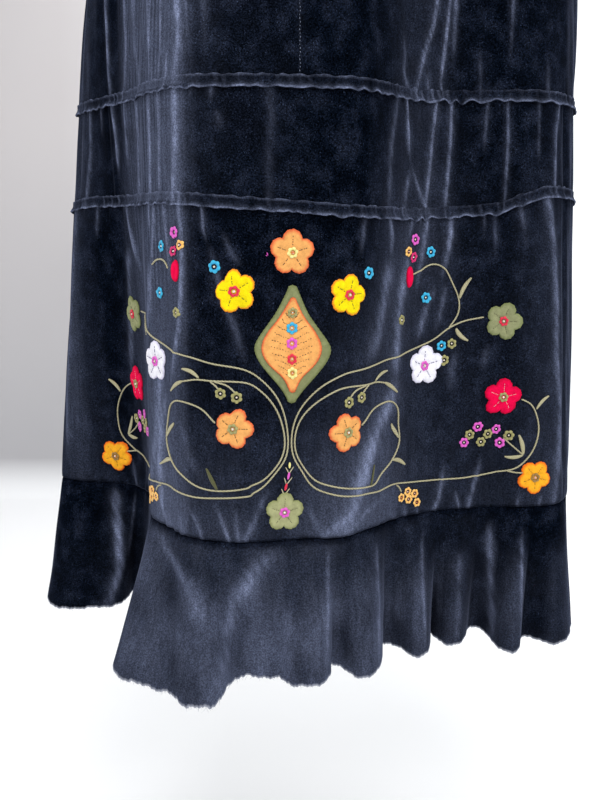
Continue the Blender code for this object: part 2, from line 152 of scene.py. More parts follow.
# The woven ground seen on the wrong side: matt, a little lighter, a thread every half millimetre drawn at 0.9 mm
groundLook = {"threadStep": 0.9, "low": "#0c0f19", "high": "#2a3040", "raw": "#9b9daa"}


def groundMaterial(look):
    made, tree, shader = newMaterial("wovenGround")
    place = addNode(tree, "ShaderNodeTexCoord").outputs["UV"]
    scale = 1 / (look["threadStep"] * mm) / 6.283
    warp, weft = (addNode(tree, "ShaderNodeTexWave", {"Vector": place, "Scale": scale, "Distortion": 0.6},
                          bands_direction=way).outputs["Fac"] for way in "XY")
    weave = addNode(tree, "ShaderNodeMath", {0: warp, 1: weft}, operation="MULTIPLY").outputs[0]
    colour = addNode(tree, "ShaderNodeMix", {"Factor": weave, 6: hexColour(look["low"]), 7: hexColour(look["high"])},
                     data_type="RGBA").outputs[2]
    raw = addNode(tree, "ShaderNodeAttribute", attribute_name="raw").outputs["Fac"]
    colour = addNode(tree, "ShaderNodeMix", {"Factor": raw, 6: colour, 7: hexColour(look["raw"])},
                     data_type="RGBA").outputs[2]
    tree.links.new(colour, shader.inputs["Base Color"])
    bump = addNode(tree, "ShaderNodeBump", {"Height": weave, "Strength": 0.3, "Distance": 0.2 * mm})
    tree.links.new(bump.outputs[0], shader.inputs["Normal"])
    setSockets(shader, {"Roughness": 0.95, "Specular IOR Level": 0.15})
    return made


# Wool felt, pressed and cut: matt, fibres in every direction, its cut rim mixed towards a second colour, darker or
# redder
def feltMaterial(name, main, rim, rimFrom=0.80):
    made, tree, shader = newMaterial(name)
    place = addNode(tree, "ShaderNodeTexCoord").outputs["Object"]
    fibres = addNode(tree, "ShaderNodeTexNoise", {"Vector": place, "Scale": 1 / (0.9 * mm), "Detail": 4.0,
                                                  "Roughness": 0.7, "Distortion": 1.2}).outputs["Fac"]
    patches = addNode(tree, "ShaderNodeTexNoise", {"Vector": place, "Scale": 1 / (5.0 * mm),
                                                   "Detail": 2.0}).outputs["Fac"]
    edge = addNode(tree, "ShaderNodeAttribute", attribute_name="rim").outputs["Fac"]
    wobble = addNode(tree, "ShaderNodeMath", {0: fibres, 1: 0.16, 2: -0.08}, operation="MULTIPLY_ADD").outputs[0]
    edge = addNode(tree, "ShaderNodeMath", {0: edge, 1: wobble}, operation="ADD").outputs[0]
    near = addNode(tree, "ShaderNodeValToRGB", {0: edge}, [(rimFrom, grey(0.0)), (0.97, grey(1.0))]).outputs[0]
    colour = addNode(tree, "ShaderNodeMix", {"Factor": near, 6: hexColour(main), 7: hexColour(rim)},
                     data_type="RGBA").outputs[2]
    tone = addNode(tree, "ShaderNodeMath", {0: fibres, 1: patches}, operation="ADD").outputs[0]
    tone = addNode(tree, "ShaderNodeMapRange", {"Value": tone, "From Min": 0.65, "From Max": 1.35, "To Min": 0.74,
                                                "To Max": 1.16}).outputs[0]
    colour = addNode(tree, "ShaderNodeMix", {"Factor": 1.0, 6: colour, 7: tone}, data_type="RGBA",
                     blend_type="MULTIPLY").outputs[2]
    tree.links.new(colour, shader.inputs["Base Color"])
    bump = addNode(tree, "ShaderNodeBump", {"Height": fibres, "Strength": 0.7, "Distance": 0.5 * mm})
    tree.links.new(bump.outputs[0], shader.inputs["Normal"])
    setSockets(shader, {"Roughness": 0.95, "Specular IOR Level": 0.15, "Sheen Weight": 0.25, "Sheen Roughness": 0.5,
                        "Sheen Tint": hexColour(main)})
    return made


# Mercerised embroidery thread, two plies twisted: a soft gloss along the ply, painted shade between the plies
def threadMaterial(name, light, darkToneAndShade, gloss=0.45):
    made, tree, shader = newMaterial(name)
    ply = addNode(tree, "ShaderNodeAttribute", attribute_name="ply").outputs["Fac"]
    place = addNode(tree, "ShaderNodeTexCoord").outputs["Object"]
    fibres = addNode(tree, "ShaderNodeTexNoise", {"Vector": place, "Scale": 1 / (1.1 * mm),
                                                  "Detail": 2.0}).outputs["Fac"]
    tone = addNode(tree, "ShaderNodeMath", {0: fibres, 1: 0.7, 2: -0.35}, operation="MULTIPLY_ADD").outputs[0]
    tone = addNode(tree, "ShaderNodeMath", {0: ply, 1: tone}, operation="ADD", use_clamp=True).outputs[0]
    # the ply value mixes in the darker colour: painted shade between plies, satin threads and a rosette's lobes, and
    # part of the own tone of dashes and frayed threads
    colour = addNode(tree, "ShaderNodeMix", {"Factor": tone, 6: hexColour(darkToneAndShade), 7: hexColour(light)},
                     data_type="RGBA").outputs[2]
    tree.links.new(colour, shader.inputs["Base Color"])
    bump = addNode(tree, "ShaderNodeBump", {"Height": fibres, "Strength": 0.4, "Distance": 0.2 * mm})
    tree.links.new(bump.outputs[0], shader.inputs["Normal"])
    setSockets(shader, {"Roughness": gloss, "Specular IOR Level": 0.4, "Sheen Weight": 0.2, "Sheen Roughness": 0.4})
    return made


# Glass seed beads, tumbled smooth: a hard small highlight on a pale lustre
def beadMaterial(name, colour):
    made, tree, shader = newMaterial(name)
    place = addNode(tree, "ShaderNodeTexCoord").outputs["Object"]
    swirl = addNode(tree, "ShaderNodeTexNoise", {"Vector": place, "Scale": 1 / (2.0 * mm),
                                                 "Detail": 1.0}).outputs["Fac"]
    tint = addNode(tree, "ShaderNodeValToRGB", {0: swirl},
                   [(0.35, hexColour(colour)), (0.7, hexColour("#fff6ea"))]).outputs[0]
    tree.links.new(tint, shader.inputs["Base Color"])
    setSockets(shader, {"Roughness": 0.18, "IOR": 1.52, "Coat Weight": 0.6, "Coat Roughness": 0.08})
    return made


# Studio paper: matt, pale, barely mottled, with painted shade that greys the wall to the left and low down, and near
# white on the floor
paperLook = {
    "left": -0.6, "right": 0.7, "wallLow": -1.1, "wallHigh": -0.3, "floor": -1.25, "floorEnd": -1.16, "mottle": 0.06,
    "shadedHighLeft": "#bfbaba", "shadedLowLeft": "#aeacae", "white": "#fafcfc", "floorWhite": "#fdfdfd",
}


def paperMaterial(look):
    made, tree, shader = newMaterial("studioPaper")
    place = addNode(tree, "ShaderNodeTexCoord").outputs["Object"]
    apart = addNode(tree, "ShaderNodeSeparateXYZ", {0: place})
    across = addNode(tree, "ShaderNodeMapRange", {"Value": apart.outputs["X"], "From Min": look["left"],
                                                  "From Max": look["right"]}).outputs[0]
    mottle = addNode(tree, "ShaderNodeTexNoise", {"Vector": place, "Scale": 3.0, "Detail": 2.0}).outputs["Fac"]
    across = addNode(tree, "ShaderNodeMath", {0: mottle, 1: look["mottle"], 2: across},
                     operation="MULTIPLY_ADD").outputs[0]
    # painted shade: greyer towards the left and low on the wall
    high = addNode(tree, "ShaderNodeValToRGB", {0: across},
                   [(0.0, hexColour(look["shadedHighLeft"])), (1.0, hexColour(look["white"]))]).outputs[0]
    low = addNode(tree, "ShaderNodeValToRGB", {0: across},
                  [(0.0, hexColour(look["shadedLowLeft"])), (1.0, hexColour(look["white"]))]).outputs[0]
    up = addNode(tree, "ShaderNodeMapRange", {"Value": apart.outputs["Z"], "From Min": look["wallLow"],
                                              "From Max": look["wallHigh"]}).outputs[0]
    wall = addNode(tree, "ShaderNodeMix", {"Factor": up, 6: low, 7: high}, data_type="RGBA").outputs[2]
    rise = addNode(tree, "ShaderNodeMapRange", {"Value": apart.outputs["Z"], "From Min": look["floor"],
                                                "From Max": look["floorEnd"]}).outputs[0]
    colour = addNode(tree, "ShaderNodeMix", {"Factor": rise, 6: hexColour(look["floorWhite"]), 7: wall},
                     data_type="RGBA").outputs[2]
    tree.links.new(colour, shader.inputs["Base Color"])
    setSockets(shader, {"Roughness": 0.9, "Specular IOR Level": 0.2})
    return made


velvet = velvetMaterial("cottonVelvet", velvetLook)
wovenGround = groundMaterial(groundLook)
felts = {
    "orange": feltMaterial("feltOrange", "#efab62", "#e0663e"),
    "olive": feltMaterial("feltOlive", "#91946c", "#7d8457"),
    "yellow": feltMaterial("feltYellow", "#f6de0c", "#f08a28", 0.86),
    "white": feltMaterial("feltWhite", "#f4f2f8", "#d9d5ea", 0.86),
    "red": feltMaterial("feltRed", "#f00048", "#cc0038"),
    "golden": feltMaterial("feltGolden", "#fcb026", "#ee6a1c"),
    # two pieces of olive that are not the same as the others
    "drop_outer": feltMaterial("feltOliveDrop", "#858a5f", "#70774b"),
    "flower_base": feltMaterial("feltOliveBase", "#a5a679", "#8b8f60"),
}
threads = {
    "stem": threadMaterial("cordBeige", "#cdc5a2", "#7c7552"),
    "leaf": threadMaterial("satinBeige", "#c3bb95", "#726d4a", 0.42),
    "leafDark": threadMaterial("satinOlive", "#5c5c34", "#33351c", 0.5),
    "teal": threadMaterial("threadTeal", "#35b9e2", "#0b7fb0"),
    "pink": threadMaterial("threadPink", "#e864cc", "#b5309c"),
    "magenta": threadMaterial("threadMagenta", "#e21c72", "#a80c50"),
    "red": threadMaterial("threadRed", "#ec2646", "#a60a28"),
    "gold": threadMaterial("threadGold", "#ffcf76", "#d98a2e"),
    "pale": threadMaterial("threadPale", "#f6ee9e", "#cdbf5e"),
    "olive": threadMaterial("threadOlive", "#aaa46a", "#6c6638"),
    "brown": threadMaterial("threadBrown", "#a8803c", "#5e4a24"),
    "speck": threadMaterial("threadDark", "#453615", "#1e180a", 0.6),
    "greyViolet": threadMaterial("threadViolet", "#5d5790", "#3a3566", 0.5),
    "white": threadMaterial("threadWhite", "#f4f0e8", "#bdb8b0", 0.5),
    "cream": threadMaterial("threadCream", "#ddd5b4", "#9a9070", 0.5),
    "fray": threadMaterial("threadFray", "#b4b6c2", "#6e7280", 0.7),
    "seam": threadMaterial("threadSeam", "#8a93aa", "#4a5268", 0.6),
}
beads = {"pearl": beadMaterial("beadPearl", "#d8c8b0"), "amber": beadMaterial("beadAmber", "#d86a2a")}
paper = paperMaterial(paperLook)
print("materials made")


# Meshes from arrays

def putMesh(name, points, faces, materials, values=None, faceSlots=None, uv=None, smoothShade=True):
    # faces is a list of arrays, each with the same number of corners in a row
    mesh = bpy.data.meshes.new(name)
    faces = [np.asarray(f, np.int32) for f in faces if len(f)]
    corners = np.concatenate([f.ravel() for f in faces])
    totals = np.concatenate([np.full(len(f), f.shape[1]) for f in faces])
    mesh.vertices.add(len(points))
    mesh.vertices.foreach_set("co", (np.asarray(points, float) * mm).astype(np.float32).ravel())
    mesh.loops.add(len(corners))
    mesh.loops.foreach_set("vertex_index", corners)
    mesh.polygons.add(len(totals))
    mesh.polygons.foreach_set("loop_start", (np.cumsum(totals) - totals).astype(np.int32))
    mesh.polygons.foreach_set("use_smooth", np.broadcast_to(smoothShade, len(totals)))
    if faceSlots is not None:
        mesh.polygons.foreach_set("material_index", np.asarray(faceSlots, np.int32))
    for label, data in (values or {}).items():
        made = mesh.attributes.new(label, "FLOAT", "POINT")
        made.data.foreach_set("value", np.asarray(data, np.float32).ravel())
    if uv is not None:
        layer = mesh.uv_layers.new(name="cloth")
        layer.data.foreach_set("uv", np.asarray(uv, np.float32)[corners].ravel())
    mesh.update(calc_edges=True)
    obj = bpy.data.objects.new(name, mesh)
    bpy.context.scene.collection.objects.link(obj)
    for used in materials:
        mesh.materials.append(used)
    return obj


def gridFaces(rows, cols, round=False, loop=False):
    # four corners of each cell, turning outwards where rows run down and columns run to the right
    r = np.arange(rows if loop else rows - 1)[:, None]
    c = np.arange(cols if round else cols - 1)[None]
    nextR, nextC = (r + 1) % rows, (c + 1) % cols
    cells = [r * cols + c, nextR * cols + c, nextR * cols + nextC, r * cols + nextC]
    return np.stack([np.broadcast_to(k, np.broadcast_shapes(r.shape, c.shape)) for k in cells], -1).reshape(-1, 4)


def withPoles(rows, cols):
    # a round grid's faces, and a fan at each end to a pole, whose two points come after the grid's
    c = np.arange(cols)
    d = (c + 1) % cols
    pole, last = np.full(cols, rows * cols), (rows - 1) * cols
    fans = [np.stack([pole, c, d], -1), np.stack([pole + 1, last + d, last + c], -1)]
    return [gridFaces(rows, cols, round=True), np.concatenate(fans)]


def outwards(points, faces):
    # turns a closed shell's faces round if its volume comes out negative
    volume = 0.0
    for f in faces:
        for k in range(1, f.shape[1] - 1):
            a, b, c = points[f[:, 0]], points[f[:, k]], points[f[:, k + 1]]
            volume += np.einsum("ij,ij->i", a, np.cross(b, c)).sum()
    return faces if volume > 0 else [f[:, ::-1] for f in faces]


def joined(shells):
    # several (points, faces, values) shells as one
    points = np.concatenate([s[0] for s in shells])
    starts = np.cumsum([0] + [len(s[0]) for s in shells])[:-1]
    faces = [f + start for (_, fs, _), start in zip(shells, starts) for f in fs]
    values = {k: np.concatenate([np.ravel(s[2][k]) for s in shells]) for k in shells[0][2]}
    return points, faces, values


def settle(obj, nodes=()):
    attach(obj, "root")
    if nodes:
        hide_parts(*nodes)
    return obj


def sewnOn(name, shell, material, nodes=()):
    # a piece from a shell of points, faces and values
    points, faces, values = shell
    return settle(putMesh(name, points, faces, [material], values), nodes)


# The skirt's form, the same as the solids': two outlines from above, a flare from the waist, a fluted hem
skirt = {
    "wall": 1.8, "gap": 0.3, "bandHeight": 35.7, "bandHalfWidth": 135.0, "bandHalfDepth": 105.0,
    "panelTop": -36.0, "seamUpper": -431.0, "seamLower": -530.0, "seamFlounce": -815.0, "hem": -950.0,
    "sectionUpper": -435.0, "sectionLower": -815.0, "flarePower": 1.5, "flareRight": 1.9, "sideTurn": 0.275,
    "flounceGap": 1.0,
    "gapSweep": 1400.0, "flounceColumns": 1440,
}
# x and y of each fold at the upper seam and at the flounce seam, from the front centre to the viewer's right
outlineRows = np.array((
    (0, -173, 0, -167), (24, -170, 34, -163), (50, -158, 63, -138), (74, -128, 87, -109), (98, -92, 122, -84),
    (138, -76, 160, -73), (174, -80, 192, -66), (205, -83, 226, -67), (236, -62, 258, -50), (261, -14, 276, -6),
    (270, 40, 279, 46), (248, 100, 252, 106), (194, 148, 196, 152), (128, 170, 130, 178), (68, 158, 70, 160),
    (0, 170, 0, 178), (-62, 156, -66, 158), (-118, 166, -130, 174), (-172, 140, -198, 144), (-210, 92, -244, 102),
    (-223, 42, -262, 58), (-206, 0, -236, 34), (-170, -52, -176, 16), (-143, -97, -147, -42), (-134, -122, -139, -101),
    (-118, -146, -121, -129),
    (-96, -172, -103, -156), (-62, -179, -68, -176), (-30, -179, -34, -176),
), float)
# arc along the lower raised seam, and how much higher or lower than its own height it runs there
seamRise = np.array((
    (-700, 2), (-500, 2), (-360, 3), (-300, 8), (-115, 8), (-45, 3), (0, 0), (40, -3), (85, -4),
    (130, -5), (175, -3), (220, 0), (243, 9), (266, 16), (330, 14), (420, 5), (560, 1), (700, 2),
), float)
# arc along the flounce seam, and how far the hem stands outward and sideways from it
hemRows = np.array((
    (-392, 16, -15), (-378, 24, -16), (-364, 32, -10), (-346, 24, -17), (-328, 16, -9),
    (-308, 4, -14), (-291, -15, -53), (-270, -14, -76), (-248, -6, -56), (-226, 7, -31),
    (-203, 23, 1), (-180, 38, 20), (-160, 51, 6), (-148, 51, 19), (-134, 36, 36), (-121, 31, 40),
    (-109, 45, 41), (-98, 48, 40), (-86, 45, 33), (-75, 28, 17), (-64, 6, 1), (-52, -7, -4),
    (-36, -6, 2), (-20, 4, 2), (-8, 19, -3), (6, 25, 0), (17, 18, 2), (25, 0, 2), (33, -21, 3),
    (42, -18, 6), (53, -1, -4), (64, 10, -13), (74, 14, -12), (83, 5, 1), (92, -6, 14),
    (101, -20, 23), (112, -19, 18), (126, 2, 2), (137, 19, -9), (148, 18, -5), (158, -2, 3),
    (166, -22, 4), (175, -9, -4), (184, 8, -8), (194, 9, -7), (203, -7, -3), (211, -24, -1),
    (220, -25, -2), (229, -9, -6), (236, 16, -9), (243, 33, -9), (250, 37, -10), (257, 22, -12),
    (264, 0, -10), (274, 5, -7), (284, 22, -13), (294, 21, -15), (303, 15, -6), (312, 12, -5),
    (322, 8, 4), (336, -18, 2), (352, -10, 0), (366, 6, -2), (380, 9, -4), (394, 6, -6),
    (408, -10, -4), (428, -14, 2), (444, 18, 4), (458, 31, 2), (472, 22, 0), (488, -14, -2),
    (506, -18, 0), (522, 10, 4), (538, 26, 4), (554, 26, 0), (570, -8, -4), (592, -20, 0),
    (612, 6, 4), (630, 24, 2), (648, 24, -2), (666, -12, -2), (684, -18, 0), (700, 12, 2),
    (716, 31, 0), (732, 22, -4), (748, -12, -4), (770, -16, 2), (788, 14, 4), (804, 28, 2),
    (820, 24, -2), (838, -12, -4), (858, -16, 0), (876, 10, 4), (892, 27, 4), (910, 28, 0),
    (926, -6, -4), (946, -14, 0), (964, 16, 4), (980, 24, 2), (996, 20, -2), (1012, -12, -4),
    (1030, -6, 0), (1044, 22, 0), (1058, 18, -8),
), float)


def smooth(value):
    value = np.clip(value, 0, 1)
    return value * value * (3 - 2 * value)


def closedCurve(rows, perSpan):
    # a smooth closed curve through the rows, each span a cubic of its four nearest rows
    rows = np.asarray(rows, float)[:, None]
    before, after, later = np.roll(rows, 1, 0), np.roll(rows, -1, 0), np.roll(rows, -2, 0)
    t = (np.arange(perSpan) / perSpan)[None, :, None]
    out = 0.5 * (2 * rows + (after - before) * t + (2 * before - 5 * rows + 4 * after - later) * t**2
                 + (3 * rows - before - 3 * after + later) * t**3)
    return out.reshape(-1, rows.shape[-1])


steps = np.linalg.norm(np.roll(outlineRows[:, :2], -1, 0) - outlineRows[:, :2], axis=1)
aroundBand = 2 * np.pi * (np.cumsum(steps) - steps) / steps.sum()
bandOutline = np.stack([skirt["bandHalfWidth"] * np.sin(aroundBand), -skirt["bandHalfDepth"] * np.cos(aroundBand)], 1)
ringPoints, levelStep = 1440, 5.0
levels = np.arange(0.0, -821.0, -levelStep)


def ringAt(z):
    # the outline at a height: between the two sections below, flared from the waistband above
    if z < skirt["sectionUpper"]:
        share = (skirt["sectionUpper"] - z) / (skirt["sectionUpper"] - skirt["sectionLower"])
        rows = outlineRows[:, :2] + (outlineRows[:, 2:] - outlineRows[:, :2]) * share
    else:
        share = min(max((skirt["panelTop"] - z) / (skirt["panelTop"] - skirt["sectionUpper"]), 0.0), 1.0)
        power = skirt["flarePower"] + skirt["flareRight"] * smooth((outlineRows[:, :1] - 150) / 90)
        rows = bandOutline + (outlineRows[:, :2] - bandOutline) * (1 - (1 - share) ** power)
    curve = closedCurve(rows, 24)
    curve = np.vstack([curve, curve[:1]])
    run = np.concatenate([[0.0], np.cumsum(np.linalg.norm(np.diff(curve, axis=0), axis=1))])
    even = np.arange(ringPoints) / ringPoints * run[-1]
    return np.stack([np.interp(even, run, curve[:, k]) for k in (0, 1)], -1), run[-1]


ringsAndSweeps = [ringAt(z) for z in levels]
rings = np.array([r[0] for r in ringsAndSweeps])
sweeps = np.array([r[1] for r in ringsAndSweeps])
alongRing = np.roll(rings, -1, 1) - np.roll(rings, 1, 1)
outward = np.stack([alongRing[..., 1], -alongRing[..., 0]], -1)
outward /= np.linalg.norm(outward, axis=-1, keepdims=True)


def sample(table, turn, z):
    turn, z = np.broadcast_arrays(np.asarray(turn, float), np.asarray(z, float))
    depth = np.clip(-z / levelStep, 0, len(levels) - 1.0001)
    row = depth.astype(int)
    down = (depth - row)[..., None]
    place = np.mod(turn, 1.0) * ringPoints
    first = place.astype(int) % ringPoints
    second = (first + 1) % ringPoints
    over = (place - np.floor(place))[..., None]
    high = table[row, first] * (1 - over) + table[row, second] * over
    low = table[row + 1, first] * (1 - over) + table[row + 1, second] * over
    return high * (1 - down) + low * down


def onSkirt(turn, z, out=0.0):
    turn, z, out = np.broadcast_arrays(*(np.asarray(v, float) for v in (turn, z, out)))
    plan = sample(rings, turn, z) + sample(outward, turn, z) * out[..., None]
    return np.concatenate([plan, z[..., None]], -1)


def sweepAt(z):
    return np.interp(-np.asarray(z, float), -levels, sweeps)


def lowerSeam(turn):
    arc = (np.mod(np.asarray(turn, float) + 0.5, 1.0) - 0.5) * sweepAt(skirt["seamLower"])
    return skirt["seamLower"] + np.interp(arc, seamRise[:, 0], seamRise[:, 1])


# Creases, gathers and the rows of nap and painted sheen have their places round the skirt in millimetres of this sweep
# at any height
commonSweep = 1420.0
